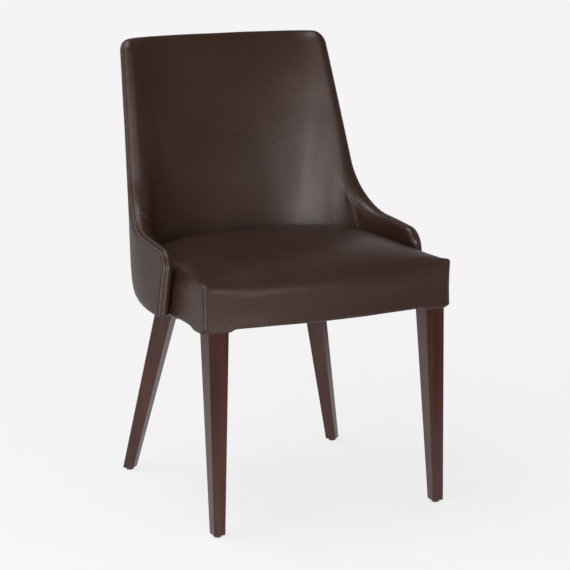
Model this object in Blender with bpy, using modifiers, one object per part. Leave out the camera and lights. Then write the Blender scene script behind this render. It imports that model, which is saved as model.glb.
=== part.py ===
# Upholstered restaurant chair with a wrap-around back, in metres, +Z up, front towards -Y.
# Left is the -X side, as seen from the front. The origin is on the floor under the middle.

from functools import lru_cache
from math import cos, hypot, pi, radians, sin, sqrt

import bpy
import bmesh
from mathutils import Matrix, Vector

# Driving dimensions of the whole chair
overall_height = 0.860
overall_width = 0.550
overall_depth = 0.542
hem_height = 0.383

# Outer plan curve of the back shell at the hem: half a superellipse
back_lean = 0.073
lower_depth = 0.310
lower_squareness_share = 3.0

# The same curve at the top of the back, which leans back and narrows
upper_half_width = 0.219
upper_depth = 0.090
upper_squareness_share = 3.2

# Flat pattern of the shell: girth from the rear centre line, and height
top_corner_girth = 0.2475
top_corner_radius = 0.024
scoop_girth = 0.305
scoop_height = 0.5205
scoop_radius = 0.100
wing_height = 0.4985
wing_reach = 0.315
wing_corner_radius = 0.018

# Thickness of the upholstered shell, leather to leather
wing_thickness = 0.020
lumbar_thickness = 0.064
lumbar_height = 0.495
crest_thickness = 0.046
pad_full_girth = 0.160
pad_end_girth = 0.460
dart_girth = 0.335

# Layers
leather_thickness = 0.0013
seam_gap = 0.0004
outer_wadding_thickness = 0.0029
shell_thickness = 0.009
edge_seam_angle = radians(45)
wing_seam_angle = radians(80)
seam_settled_height = 0.619

# Seat cushion
seat_side_gap = 0.0064
seat_bow = 0.0185
seat_corner_radius = 0.0105
seat_front_edge = 0.4735
seat_side_edge = 0.4700
seat_rear_edge = 0.4890
seat_crown = 0.4985
seat_edge_radius = 0.021
seat_side_waist = 0.0010
seat_skirt_thickness = 0.0060
seat_back_clearance = 0.0013

# Seat frame
rail_height = 0.055
rail_bottom_gap = 0.0016
rail_thickness = 0.025
front_rail_depth = 0.0265
rear_rail_depth = 0.048
rear_block_reach = 0.168
rear_block_past_leg = 0.0487
frame_clearance = 0.0003
frame_to_shell = 0.0012
corner_block_reach = 0.055
edge_bevel = 0.0012

# Front legs: square, upright above the hem, with an upright outer face
front_leg_head = 0.040
front_leg_foot = 0.022
front_leg_side_cover = 0.0088
front_leg_front_cover = 0.0015
front_foot_out = 0.0068
front_foot_ahead = 0.023

# Rear legs: square, turned by 45 degrees, splayed out and back
rear_leg_head = 0.038
rear_leg_foot = 0.0215
rear_leg_in_from_side = 0.126
rear_leg_in_from_rear = 0.065
rear_foot_out = 0.0794
rear_foot_behind = 0.050
rear_leg_turn = radians(45)

# Glides
glide_diameter = 0.0150
glide_height = 0.0040
glide_nail_diameter = 0.0030
glide_nail_length = 0.014

# Bolts
bolt_diameter = 0.008
bolt_head_diameter = 0.014
bolt_head_height = 0.0055
washer_diameter = 0.020
washer_thickness = 0.0016
insert_diameter = 0.012
insert_length = 0.016
insert_depth = 0.024
tnut_barrel_diameter = 0.0105
tnut_barrel_length = 0.0040
tnut_flange_diameter = 0.016
tnut_flange_thickness = 0.0014
tnut_seat_depth = 0.0026
hex_key_width = 0.006
bolt_height = 0.412
rear_bolt_spacing = 0.110

# Webbing and cloths
webbing_width = 0.050
webbing_thickness = 0.0016
webbing_pitch = 0.085
long_straps = 4
cross_straps = 3
cross_straps_forward = 0.007
cloth_thickness = 0.0008
cloth_margin = 0.004
dust_cover_margin = 0.003

# Derived places: the crest of the back and the middle of the bowed front are the ends of the chair
crest_edge = overall_height - crest_thickness / 2
lean_share = (overall_height - hem_height) / (crest_edge - hem_height)
lower_half_width = overall_width / 2
lower_rear = overall_depth / 2 - back_lean
upper_rear = lower_rear + back_lean * lean_share
wing_front = lower_rear - wing_reach

# Derived places of the seat and its frame
seat_half_width = lower_half_width - wing_thickness - seat_side_gap
seat_corner_front = seat_bow - overall_depth / 2
front_leg_x = seat_half_width - front_leg_side_cover - front_leg_head / 2
front_leg_y = seat_corner_front + front_leg_front_cover + front_leg_head / 2
front_foot_x = front_leg_x + front_foot_out
front_foot_y = front_leg_y - front_foot_ahead
front_rail_back = seat_corner_front + front_rail_depth
rear_leg_x = lower_half_width - rear_leg_in_from_side
rear_leg_y = lower_rear - rear_leg_in_from_rear
rear_foot_x = rear_leg_x + rear_foot_out
rear_foot_y = rear_leg_y + rear_foot_behind
rear_rail_front = lower_rear - rear_rail_depth
rear_block_front = lower_rear - rear_block_reach
rear_block_end = rear_leg_x - rear_block_past_leg
webbing_middle = (front_rail_back + rear_rail_front) / 2 - cross_straps_forward

# Derived heights
rail_bottom = hem_height + rail_bottom_gap
rail_top = rail_bottom + rail_height
webbing_low = rail_top + frame_clearance
webbing_high = webbing_low + webbing_thickness + frame_clearance
deck_bottom = webbing_high + webbing_thickness + frame_clearance
deck_top = deck_bottom + cloth_thickness
foam_bottom = deck_top + frame_clearance
shell_outer_depth = leather_thickness + 2 * seam_gap + outer_wadding_thickness
shell_inner_depth = shell_outer_depth + shell_thickness

# Cutters reach this far past what they cut
overrun = 0.030

# How finely the forms are divided
plan_steps = 60
pattern_counts = {"top": 4, "top_corner": 3, "side": 4, "scoop": 4, "wing": 3, "wing_corner": 4, "front": 3}
pattern_rows = pattern_counts["front"] + pattern_counts["wing_corner"] // 2
top_ease_share = 1.4
outer_roll_shares = (0, 1 / 2, 1)
inner_roll_shares = (0, 1 / 6, 1 / 3, 5 / 9, 7 / 9, 1)
front_steps = 8
seat_bow_steps = 6
seat_corner_steps = 3
seat_side_steps = 3
seat_rear_steps = 9
seat_side_shares = (0.0, 0.5, 1.0)
seat_crown_shares = (0.80, 0.55, 0.28)
shoulder_steps = 3
round_sides = 12
normal_reach = 0.004
merge_distance = 0.0001
smooth_angle = radians(35)
bevel_angle = radians(40)


def clear_scene():
    for item in list(bpy.data.objects):
        bpy.data.objects.remove(item, do_unlink=True)


def collection(name):
    group = bpy.data.collections.new(name)
    bpy.context.scene.collection.children.link(group)
    return group


clear_scene()
parts = collection("restaurant_chair")
cutters = collection("cutters")


def material(name, colour, roughness, metallic=0.0):
    made = bpy.data.materials.new(name)
    made.use_nodes = True
    shader = made.node_tree.nodes["Principled BSDF"]
    shader.inputs["Base Color"].default_value = (*colour, 1.0)
    shader.inputs["Roughness"].default_value = roughness
    shader.inputs["Metallic"].default_value = metallic
    made.diffuse_color = (*colour, 1.0)
    return made


leather = material("leather", (0.045, 0.024, 0.018), 0.42)
stained_wood = material("stained_wood", (0.060, 0.016, 0.012), 0.35)
frame_wood = material("frame_wood", (0.62, 0.45, 0.28), 0.6)
plywood = material("plywood", (0.66, 0.50, 0.32), 0.6)
foam = material("foam", (0.85, 0.80, 0.62), 0.9)
wadding = material("wadding", (0.88, 0.88, 0.86), 0.95)
webbing_cloth = material("webbing", (0.10, 0.08, 0.06), 0.9)
dark_cloth = material("dark_cloth", (0.02, 0.02, 0.02), 0.95)
steel = material("steel", (0.62, 0.62, 0.60), 0.35, 1.0)
glide_plastic = material("glide_plastic", (0.03, 0.025, 0.02), 0.5)


# Small tools shared by the pieces

def add_object(name, mesh, look=None, group=None):
    made = bpy.data.objects.new(name, mesh)
    (group or parts).objects.link(made)
    if look:
        mesh.materials.append(look)
    else:
        made.hide_render = True
        made.display_type = "WIRE"
    return made


def mesh_from(work, name):
    bmesh.ops.recalc_face_normals(work, faces=work.faces)
    mesh = bpy.data.meshes.new(name)
    work.to_mesh(mesh)
    work.free()
    mesh.shade_smooth()
    mesh.set_sharp_from_angle(angle=smooth_angle)
    return mesh


def bevel(item):
    rounding = item.modifiers.new("Bevel", "BEVEL")
    rounding.width = edge_bevel
    rounding.segments = 1
    rounding.limit_method = "ANGLE"
    rounding.angle_limit = bevel_angle


def thicken(item, thickness):
    skin = item.modifiers.new("Solidify", "SOLIDIFY")
    skin.thickness = thickness
    skin.offset = -1


def mirror(item):
    half = item.modifiers.new("Mirror", "MIRROR")
    half.use_clip = True
    half.merge_threshold = merge_distance


def cut(item, cutter, operation="DIFFERENCE"):
    change = item.modifiers.new("Cut", "BOOLEAN")
    change.operation = operation
    change.solver = "EXACT"
    change.object = cutter


def lerp(first, second, share):
    return first + (second - first) * share


def smooth_step(share):
    share = min(max(share, 0.0), 1.0)
    return share * share * (3 - 2 * share)


def loft(name, low_points, high_points, look):
    """A solid between two outlines with the same number of points."""
    work = bmesh.new()
    low = [work.verts.new(point) for point in low_points]
    high = [work.verts.new(point) for point in high_points]
    count = len(low)
    work.faces.new(low)
    work.faces.new(high)
    for index in range(count):
        after = (index + 1) % count
        work.faces.new((low[index], low[after], high[after], high[index]))
    return add_object(name, mesh_from(work, name), look)


def plate(name, outline, bottom, top, look=None, group=None):
    """A flat outline, extruded upwards."""
    work = bmesh.new()
    face = work.faces.new([work.verts.new((x, y, bottom)) for x, y in outline])
    raised = bmesh.ops.extrude_face_region(work, geom=[face])["geom"]
    moved = [item for item in raised if isinstance(item, bmesh.types.BMVert)]
    bmesh.ops.translate(work, vec=(0, 0, top - bottom), verts=moved)
    return add_object(name, mesh_from(work, name), look, group)


def block(name, low, high, look=None, group=None):
    """A box between two corners."""
    low, high = Vector(low), Vector(high)
    work = bmesh.new()
    bmesh.ops.create_cube(work, size=1)
    bmesh.ops.scale(work, vec=high - low, verts=work.verts)
    bmesh.ops.translate(work, vec=(low + high) / 2, verts=work.verts)
    return add_object(name, mesh_from(work, name), look, group)


def turned(name, profile, place, look=None, group=None):
    """A profile of (radius, station), down its outer side, turned round the +Z of a placing matrix."""
    work = bmesh.new()
    points = [work.verts.new((radius, 0, station)) for radius, station in profile]
    ends = points[1:] + points[:1] if profile[0][0] > 0 else points[1:]
    for first, second in zip(points, ends):
        work.edges.new((first, second))
    mesh = bpy.data.meshes.new(name)
    work.to_mesh(mesh)
    work.free()
    made = add_object(name, mesh, look, group)
    made.matrix_world = place
    turn = made.modifiers.new("Screw", "SCREW")
    turn.steps = round_sides
    turn.render_steps = round_sides
    turn.use_merge_vertices = True
    turn.merge_threshold = merge_distance
    turn.use_smooth_shade = False
    return made


def along(point, direction):
    """Placing matrix whose +Z runs along a direction."""
    turn = Vector(direction).to_track_quat("Z", "Y").to_matrix().to_4x4()
    return Matrix.Translation(point) @ turn


# The outer surface of the back shell, as a flat pattern of girth and height bent round the seat

def superellipse(half_width, depth, rear, squareness, angle):
    x = half_width * sin(angle) ** (2 / squareness)
    y = rear - depth + depth * max(cos(angle), 0.0) ** (2 / squareness)
    return x, y


def plan_curve(height):
    """Points of the outer curve at a height, from the rear centre round to the front."""
    share = (height - hem_height) / (overall_height - hem_height)
    points = []
    for step in range(plan_steps + 1):
        angle = pi / 2 * step / plan_steps
        low = superellipse(lower_half_width, lower_depth, lower_rear, lower_squareness_share, angle)
        high = superellipse(upper_half_width, upper_depth, upper_rear, upper_squareness_share, angle)
        points.append((lerp(low[0], high[0], share), lerp(low[1], high[1], share)))
    points.append((points[-1][0], -overall_depth))
    return points


@lru_cache(maxsize=None)
def plan_run(height):
    """The plan curve at a height with its running girth."""
    points = plan_curve(height)
    girths = [0.0]
    for first, second in zip(points, points[1:]):
        girths.append(girths[-1] + hypot(second[0] - first[0], second[1] - first[1]))
    return points, girths


def outer_point(girth, height):
    points, girths = plan_run(height)
    reach = abs(girth)
    index = 1
    while index < len(girths) - 1 and girths[index] < reach:
        index += 1
    share = (reach - girths[index - 1]) / (girths[index] - girths[index - 1])
    x = lerp(points[index - 1][0], points[index][0], share)
    y = lerp(points[index - 1][1], points[index][1], share)
    return Vector((x if girth >= 0 else -x, y, height))


def inward(girth, height):
    """Unit normal of the outer surface, into the padding."""
    around = outer_point(girth + normal_reach, height) - outer_point(girth - normal_reach, height)
    up = outer_point(girth, height + normal_reach) - outer_point(girth, height - normal_reach)
    return around.cross(up).normalized()


def shell_point(girth, height, depth):
    normal = inward(girth, height)
    normal.z = 0
    return outer_point(girth, height) + normal.normalized() * depth


def thickness(girth, height):
    """Leather to leather: thick over the lumbar, thinner at the crest, thin in the wings."""
    rise = (height - lumbar_height) / (overall_height - lumbar_height)
    pad = lerp(lumbar_thickness, crest_thickness, min(max(rise, 0.0), 1.0))
    fall = smooth_step((pad_end_girth - abs(girth)) / (pad_end_girth - pad_full_girth))
    return lerp(wing_thickness, pad, fall)


to_side = Vector((1, 0, 0))
to_front = Vector((0, -1, 0))
to_corner = Vector((1, -1, 0))


def girth_at(height, depth, axis, value):
    """Girth at which a curve at some depth, going round to the front, reaches a value along an axis."""
    low, high = 0.0, overall_height
    for _ in range(plan_steps):
        middle = (low + high) / 2
        if shell_point(middle, height, depth).dot(axis) < value:
            low = middle
        else:
            high = middle
    return (low + high) / 2


# The flat pattern

def rounded_outline(corners, radii, counts):
    """Straight runs and arcs through corner points, with a chosen number of steps for each.

    The steps of the first run, along the top, close up towards its corner, where the shell bends most.
    """
    points = []
    start = Vector(corners[0])
    for index in range(1, len(corners) - 1):
        corner = Vector(corners[index])
        back = (Vector(corners[index - 1]) - corner).normalized()
        ahead = (Vector(corners[index + 1]) - corner).normalized()
        half = back.angle(ahead) / 2
        radius = radii[index - 1]
        run = radius / (sin(half) / cos(half))
        centre = corner + (back + ahead).normalized() * (radius / sin(half))
        first = corner + back * run
        last = corner + ahead * run
        run_steps, arc_steps = counts[2 * index - 2], counts[2 * index - 1]
        ease = top_ease_share if index == 1 else 1
        points += [start.lerp(first, 1 - (1 - step / run_steps) ** ease) for step in range(run_steps)]
        arm_first, arm_last = first - centre, last - centre
        sweep = arm_first.angle(arm_last)
        for step in range(arc_steps):
            share = step / arc_steps
            arm = (arm_first * sin(sweep * (1 - share)) + arm_last * sin(sweep * share)) / sin(sweep)
            points.append(centre + arm)
        start = last
    end = Vector(corners[-1])
    points += [start.lerp(end, step / counts[-1]) for step in range(counts[-1] + 1)]
    return points


front_top_girth = girth_at(wing_height, 0.0, to_front, -wing_front)
front_low_girth = girth_at(hem_height, 0.0, to_front, -wing_front)
rim = rounded_outline(
    [(0.0, overall_height), (top_corner_girth, overall_height), (scoop_girth, scoop_height),
     (front_top_girth, wing_height), (front_low_girth, hem_height)],
    [top_corner_radius, scoop_radius, wing_corner_radius],
    [pattern_counts[part] for part in
     ("top", "top_corner", "side", "scoop", "wing", "wing_corner", "front")])
rim_last = len(rim) - 1
columns = rim_last - pattern_rows


def rim_inward():
    """Unit directions into the pattern, square to its rim."""
    made = []
    for index in range(len(rim)):
        before = rim[max(index - 1, 0)]
        after = rim[min(index + 1, rim_last)]
        run = (after - before).normalized()
        made.append(Vector((run.y, -run.x)))
    made[0] = Vector((0.0, -1.0))
    made[-1] = Vector((-1.0, 0.0))
    return made


rim_in = rim_inward()
rim_roll = [thickness(point.x, point.y) / 2 for point in rim]


def rim_point(index, inset):
    return rim[index] + rim_in[index] * inset


def field_point(column, row, inset=0.0):
    """Point (girth, height) of the field inside the rolled rim: a patch between hem and rim."""
    across = column / columns
    top = rim_point(column, rim_roll[column] + inset)
    last = rim_point(rim_last, rim_roll[rim_last] + inset)
    low = Vector((last.x * across, hem_height))
    corner = rim_point(columns, rim_roll[columns] + inset)
    right = rim_point(columns + pattern_rows - row, rim_roll[columns + pattern_rows - row] + inset)
    right_share = (right.y - hem_height) / (corner.y - hem_height)
    rise = lerp(row / pattern_rows, right_share, across * across)
    point = low.lerp(top, rise)
    chord = last.lerp(corner, right_share)
    return point + (right - chord) * across ** 4


def roll_point(index, angle, offset):
    """Point on the rolled rim: angle 0 is the outer face, 180 degrees the inner face."""
    roll = rim_roll[index]
    inset = roll - (roll - offset) * sin(angle)
    flat = rim_point(index, inset)
    return shell_point(flat.x, flat.y, roll - (roll - offset) * cos(angle))


def seam_angle(index):
    """The seam runs behind the edge of the back and on the crest of the wings."""
    height = rim[index].y
    share = (height - wing_height) / (seam_settled_height - wing_height)
    return lerp(wing_seam_angle, edge_seam_angle, smooth_step(share))


class Quilt:
    """A bent patch of the pattern, as named rows of points joined into a mesh."""

    def __init__(self):
        self.work = bmesh.new()

    def line(self, points):
        return [self.work.verts.new(point) for point in points]

    def join(self, first, second):
        """Two rows are joined by triangles, with the diagonals the same way in every layer."""
        for index in range(len(first) - 1):
            self.work.faces.new((first[index], first[index + 1], second[index + 1]))
            self.work.faces.new((first[index], second[index + 1], second[index]))

    def close(self, verts):
        self.work.faces.new(verts)


def field_rows(quilt, depth_at, first=0, last=None, inset=0.0, shift=0.0):
    """Rows of the field from the hem up, each from one column to another."""
    last = columns if last is None else last
    rows = []
    for row in range(pattern_rows + 1):
        points = []
        for column in range(first, last + 1):
            at_rim = column == columns or row == pattern_rows
            flat = field_point(column, row, inset if at_rim else 0.0)
            moved = flat.x + (shift if column == first else 0.0)
            points.append(shell_point(moved, flat.y, depth_at(flat.x, flat.y)))
        rows.append(quilt.line(points))
    for lower, upper in zip(rows, rows[1:]):
        quilt.join(lower, upper)
    return rows


def rim_of(rows, upto_end=True):
    """The top row and, where the field reaches the wing, its front edge down to the hem."""
    edge = list(rows[-1])
    if upto_end:
        edge += [row[-1] for row in reversed(rows[:-1])]
    return edge


def snap_to_middle(mesh):
    """Points on the centre line are set exactly on it."""
    for vert in mesh.vertices:
        if abs(vert.co.x) < seam_gap / 2:
            vert.co.x = 0.0


def shell_sheet(name, outer_depth, inner_depth, look):
    """A layer that fills the field only, such as the plywood."""
    quilt = Quilt()
    outer = field_rows(quilt, lambda girth, height: outer_depth)
    inner = field_rows(quilt, lambda girth, height: inner_depth)
    quilt.join(rim_of(outer), rim_of(inner))
    quilt.join(outer[0], inner[0])
    mesh = mesh_from(quilt.work, name)
    snap_to_middle(mesh)
    made = add_object(name, mesh, look)
    mirror(made)
    return made


# Cutters that several pieces share

def inner_edge(height, depth, count, start, end):
    """Plan points along the inside of the shell between two girths."""
    points = []
    for step in range(count + 1):
        place = shell_point(lerp(start, end, step / count), height, depth)
        points.append((place.x, place.y))
    return points


def front_line(inset, half_width):
    """Plan points of the bowed front from +x to -x, set in from the leather."""
    points = []
    for step in range(front_steps + 1):
        x = lerp(half_width, -half_width, step / front_steps)
        points.append((x, front_bow(x) + inset))
    return points


def front_bow(x):
    return seat_corner_front - seat_bow * (1 - (x / seat_half_width) ** 2)


front_leg_outer = front_leg_x + front_leg_head / 2
skirt_inset = leather_thickness + seam_gap + seat_skirt_thickness


def frame_room():
    """Room for the frame, the webbing and the deck under the cushions."""
    side = front_leg_outer + seam_gap
    wide = lower_half_width + overrun
    outline = front_line(skirt_inset - seam_gap, side)
    outline += [(-side, rear_block_front), (-wide, rear_block_front)]
    outline += [(-wide, overall_depth / 2), (wide, overall_depth / 2)]
    outline += [(wide, rear_block_front), (side, rear_block_front)]
    return plate("frame_room", outline, hem_height - overrun, foam_bottom, group=cutters)


frame_room_cutter = frame_room()


def front_leg_room(side):
    """Room in the cushion's skirt for a front leg's head, open to the front: the leather lies on the leg."""
    half = front_leg_head / 2 + frame_clearance
    x, y = side * front_leg_x, front_leg_y
    return block("front_leg_room", (x - half, -overall_depth, hem_height - overrun),
                 (x + half, y + half, foam_bottom), group=cutters)


# Back shell and its upholstery

def make_back_shell():
    return shell_sheet("back_shell", shell_outer_depth, shell_inner_depth, plywood)


def make_outside_wadding():
    under_leather = leather_thickness + seam_gap
    return shell_sheet("outside_wadding", under_leather, under_leather + outer_wadding_thickness, wadding)


def outer_face(quilt, offset):
    """One face of the outside leather, field and rolled edge: returns its hem and its seam edge."""
    rows = field_rows(quilt, lambda girth, height: offset)
    edge = rim_of(rows)
    hem = list(rows[0])
    for share in outer_roll_shares[1:]:
        loop = quilt.line([roll_point(index, seam_angle(index) * share, offset)
                           for index in range(rim_last + 1)])
        quilt.join(loop, edge)
        edge = loop
        hem.append(loop[-1])
    return hem, edge


def make_outside_back_cover():
    quilt = Quilt()
    for first, second in zip(outer_face(quilt, 0.0), outer_face(quilt, leather_thickness)):
        quilt.join(first, second)
    mesh = mesh_from(quilt.work, "outside_back_cover")
    snap_to_middle(mesh)
    made = add_object("outside_back_cover", mesh, leather)
    mirror(made)
    return made


def inner_face(quilt, offset, first, last):
    """One face of the inside leather between two places on the rim: returns its hem, seam and dart edges."""
    wing = last == rim_last
    shift = seam_gap if wing else 0.0
    rows = field_rows(quilt, lambda girth, height: thickness(girth, height) - offset,
                      first, min(last, columns), shift=shift)
    edge = rim_of(rows, wing)
    hem = list(rows[0])
    dart = [row[0] if wing else row[-1] for row in rows]
    for share in reversed(inner_roll_shares[:-1]):
        points = []
        for index in range(first, last + 1):
            angle = lerp(seam_angle(index), pi, share)
            if share == 0:
                angle += seam_gap / rim_roll[index]
            place = roll_point(index, angle, offset)
            if index == first and wing:
                place += (roll_point(index + 1, angle, offset) - place).normalized() * shift
            points.append(place)
        loop = quilt.line(points)
        quilt.join(edge, loop)
        edge = loop
        dart.append(loop[0] if wing else loop[-1])
        if wing:
            hem.append(loop[-1])
    return hem, edge, dart


dart_column = min(range(columns), key=lambda index: abs(rim[index].x - dart_girth))


def make_inside_back_cover():
    quilt = Quilt()
    faces = [inner_face(quilt, offset, 0, dart_column) for offset in (0.0, leather_thickness)]
    for first, second in zip(*faces):
        quilt.join(first, second)
    mesh = mesh_from(quilt.work, "inside_back_cover")
    snap_to_middle(mesh)
    made = add_object("inside_back_cover", mesh, leather)
    mirror(made)
    cut(made, frame_room_cutter)
    return made


def make_inside_wing_cover(side, name):
    quilt = Quilt()
    faces = [inner_face(quilt, offset, dart_column, rim_last) for offset in (0.0, leather_thickness)]
    for first, second in zip(*faces):
        quilt.join(first, second)
    mesh = mesh_from(quilt.work, name)
    if side < 0:
        mesh.transform(Matrix.Scale(-1, 4, (1, 0, 0)))
        mesh.flip_normals()
    made = add_object(name, mesh, leather)
    cut(made, frame_room_cutter)
    return made


def make_back_foam():
    """Inner padding that also rolls round the edge of the plywood."""
    quilt = Quilt()
    skin = leather_thickness + seam_gap
    face = field_rows(quilt, lambda girth, height: thickness(girth, height) - skin)
    back = field_rows(quilt, lambda girth, height: shell_inner_depth + seam_gap, inset=-seam_gap)
    edge = rim_of(face)
    ends = [edge[-1]]
    turns = [(share, pi) for share in reversed(inner_roll_shares[:-1])]
    turns += [(share, 0.0) for share in reversed(outer_roll_shares[1:-1])]
    for share, goal in turns:
        points = []
        for index in range(rim_last + 1):
            turn = seam_angle(index)
            angle = lerp(turn, pi, share) if goal else turn * share
            points.append(roll_point(index, angle, skin))
        loop = quilt.line(points)
        quilt.join(edge, loop)
        edge = loop
        ends.append(loop[-1])
    points = []
    for index in range(rim_last + 1):
        flat = rim_point(index, rim_roll[index] - seam_gap)
        points.append(shell_point(flat.x, flat.y, skin))
    start = quilt.line(points)
    quilt.join(edge, start)
    quilt.join(start, rim_of(back))
    quilt.join(face[0], back[0])
    quilt.close(ends + [start[-1], back[0][-1]])
    mesh = mesh_from(quilt.work, "back_foam")
    snap_to_middle(mesh)
    made = add_object("back_foam", mesh, foam)
    mirror(made)
    cut(made, frame_room_cutter)
    return made


# Seat cushion

@lru_cache(maxsize=None)
def seat_outline(height, inset):
    """Half plan outline of the seat at a height, from the front centre round to the rear centre."""
    radius = seat_corner_radius
    points = []
    straight = seat_half_width - radius
    for step in range(seat_bow_steps):
        x = straight * step / seat_bow_steps
        points.append(Vector((x, front_bow(x) + inset)))
    corner_y = front_bow(straight) + radius
    for step in range(seat_corner_steps):
        angle = pi / 2 * step / seat_corner_steps
        reach = radius - inset
        points.append(Vector((straight + reach * sin(angle), corner_y - reach * cos(angle))))
    wing_girth = girth_at(height, 0.0, to_front, -wing_front)
    wing_start = seat_rim_point(wing_girth, height, inset)
    corner_end = Vector((seat_half_width - inset, corner_y))
    points += [corner_end.lerp(wing_start, step / seat_side_steps) for step in range(seat_side_steps)]
    for step in range(seat_rear_steps + 1):
        points.append(seat_rim_point(wing_girth * (1 - step / seat_rear_steps), height, inset))
    return points


def seat_rim_point(girth, height, inset):
    level = max(height, hem_height)
    depth = thickness(girth, level) + seat_back_clearance + inset
    place = shell_point(girth, level, depth)
    return Vector((min(place.x, seat_half_width - inset), place.y))


def seat_edge_height(point):
    """Height of the shoulder line round the seat."""
    run = (point.y - seat_corner_front) / (lower_rear - lumbar_thickness - seat_corner_front)
    front = lerp(seat_front_edge, seat_side_edge, (point.x / seat_half_width) ** 2)
    return lerp(front, seat_rear_edge, smooth_step(run))


seat_middle = (seat_corner_front + lower_rear - lumbar_thickness) / 2


def seat_loops(inset):
    """Rings of the cushion's skin from the hem, up the drawn-in sides, over the shoulder, to the middle."""
    rings = []
    top_outline = seat_outline(seat_side_edge, 0.0)
    edges = [seat_edge_height(point) for point in top_outline]
    for level in seat_side_shares:
        ring = []
        for index, top in enumerate(edges):
            height = lerp(hem_height, top - seat_edge_radius, level)
            waist = seat_side_waist * sin(pi * level)
            place = seat_outline(height, inset + waist)[index]
            ring.append(Vector((place.x, place.y, height)))
        rings.append(ring)
    centre = Vector((0.0, seat_middle))
    for step in range(1, shoulder_steps + 1):
        angle = pi / 2 * step / shoulder_steps
        ring = []
        for index, top in enumerate(edges):
            reach = (seat_edge_radius - inset) * (1 - cos(angle)) + inset
            outline = seat_outline(min(top, seat_rear_edge), 0.0)[index]
            toward = (centre - outline).normalized()
            place = outline + toward * reach
            height = top - seat_edge_radius + (seat_edge_radius - inset) * sin(angle)
            ring.append(Vector((place.x, place.y, height)))
        rings.append(ring)
    shoulder = rings[-1]
    for share in seat_crown_shares:
        ring = []
        for point in shoulder:
            flat = centre.lerp(Vector((point.x, point.y)), share)
            lift = 1 - share ** 2
            height = lerp(point.z, seat_crown - inset, lift)
            ring.append(Vector((flat.x, flat.y, height)))
        rings.append(ring)
    return rings, Vector((0.0, seat_middle, seat_crown - inset))


def seat_skin(quilt, inset):
    rings, top = seat_loops(inset)
    lines = [quilt.line(ring) for ring in rings]
    for lower, upper in zip(lines, lines[1:]):
        quilt.join(lower, upper)
    peak = quilt.work.verts.new(top)
    last = lines[-1]
    for index in range(len(last) - 1):
        quilt.close((last[index], last[index + 1], peak))
    return lines


def make_seat_cover():
    quilt = Quilt()
    outer = seat_skin(quilt, 0.0)
    inner = seat_skin(quilt, leather_thickness)
    quilt.join(outer[0], inner[0])
    mesh = mesh_from(quilt.work, "seat_cover")
    snap_to_middle(mesh)
    made = add_object("seat_cover", mesh, leather)
    mirror(made)
    cut(made, frame_room_cutter)
    return made


def make_seat_foam():
    """A moulded cap: a crowned slab with skirts outside the rails."""
    quilt = Quilt()
    lines = seat_skin(quilt, leather_thickness + seam_gap)
    base = quilt.work.verts.new((0.0, seat_middle, hem_height))
    for index in range(len(lines[0]) - 1):
        quilt.close((lines[0][index], lines[0][index + 1], base))
    mesh = mesh_from(quilt.work, "seat_foam")
    snap_to_middle(mesh)
    made = add_object("seat_foam", mesh, foam)
    mirror(made)
    cut(made, frame_room_cutter)
    for side in (-1, 1):
        cut(made, front_leg_room(side))
    return made


# Seat frame

def frame_outline(height, inset):
    """Plan outline of the frame: bowed front, straight sides, and the inside of the shell behind."""
    side = front_leg_outer - inset
    depth = shell_inner_depth + frame_to_shell + inset
    start = girth_at(height, depth, to_front, -rear_block_front)
    points = front_line(skirt_inset + inset, side)
    points.append((-side, rear_block_front))
    points += inner_edge(height, depth, seat_rear_steps, -start, start)
    points.append((side, rear_block_front))
    return points


def make_front_rail():
    half = front_leg_x - front_leg_head / 2 - frame_clearance
    outline = front_line(skirt_inset, half)
    outline += [(-half, front_rail_back), (half, front_rail_back)]
    made = plate("front_rail", outline, rail_bottom, rail_top, frame_wood)
    bevel(made)
    return made


def make_side_rail(side, name):
    inner = front_leg_outer - rail_thickness
    front = front_leg_y + front_leg_head / 2 + frame_clearance
    back = rear_block_front - frame_clearance
    low_x, high_x = sorted((side * inner, side * front_leg_outer))
    made = block(name, (low_x, front, rail_bottom), (high_x, back, rail_top), frame_wood)
    bevel(made)
    return made


def lofted(name, outline_at, look):
    """A solid whose outline follows the leaning shell from the bottom to the top of the rails."""
    low = [(x, y, rail_bottom) for x, y in outline_at(rail_bottom)]
    high = [(x, y, rail_top) for x, y in outline_at(rail_top)]
    return loft(name, low, high, look)


def make_rear_rail():
    half = rear_block_end - frame_clearance
    depth = shell_inner_depth + frame_to_shell

    def outline(height):
        reach = girth_at(height, depth, to_side, half)
        return inner_edge(height, depth, seat_bow_steps, reach, -reach) + [
            (-half, rear_rail_front), (half, rear_rail_front)]

    return lofted("rear_rail", outline, frame_wood)


rear_leg_reach = rear_leg_head / 2 * sqrt(2)
rear_block_diagonal = rear_leg_x + rear_leg_y - rear_leg_reach


def make_rear_block(side, name):
    """Fills the corner between the rails and the shell, with a mortise open to the inside for the leg."""
    depth = shell_inner_depth + frame_to_shell

    def outline(height):
        front = girth_at(height, depth, to_front, -rear_block_front)
        end = girth_at(height, depth, to_side, rear_block_end)
        around = inner_edge(height, depth, seat_rear_steps, front, end)
        inner = [(rear_block_end, rear_block_diagonal - rear_block_end),
                 (rear_block_diagonal - rear_block_front, rear_block_front)]
        return [(side * x, y) for x, y in around + inner]

    made = lofted(name, outline, frame_wood)
    cut(made, rear_mortise(side))
    return made


def rear_mortise(side):
    """Cutter for a rear leg's head, open towards the inside of the frame."""
    half = rear_leg_head / 2 + frame_clearance
    low, high = (-half, -overrun, rail_bottom - overrun), (half, half, rail_top + overrun)
    made = block("rear_mortise", low, high, group=cutters)
    place = Matrix.Translation((side * rear_leg_x, rear_leg_y, 0))
    made.matrix_world = place @ Matrix.Rotation(-side * rear_leg_turn, 4, "Z")
    return made


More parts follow.
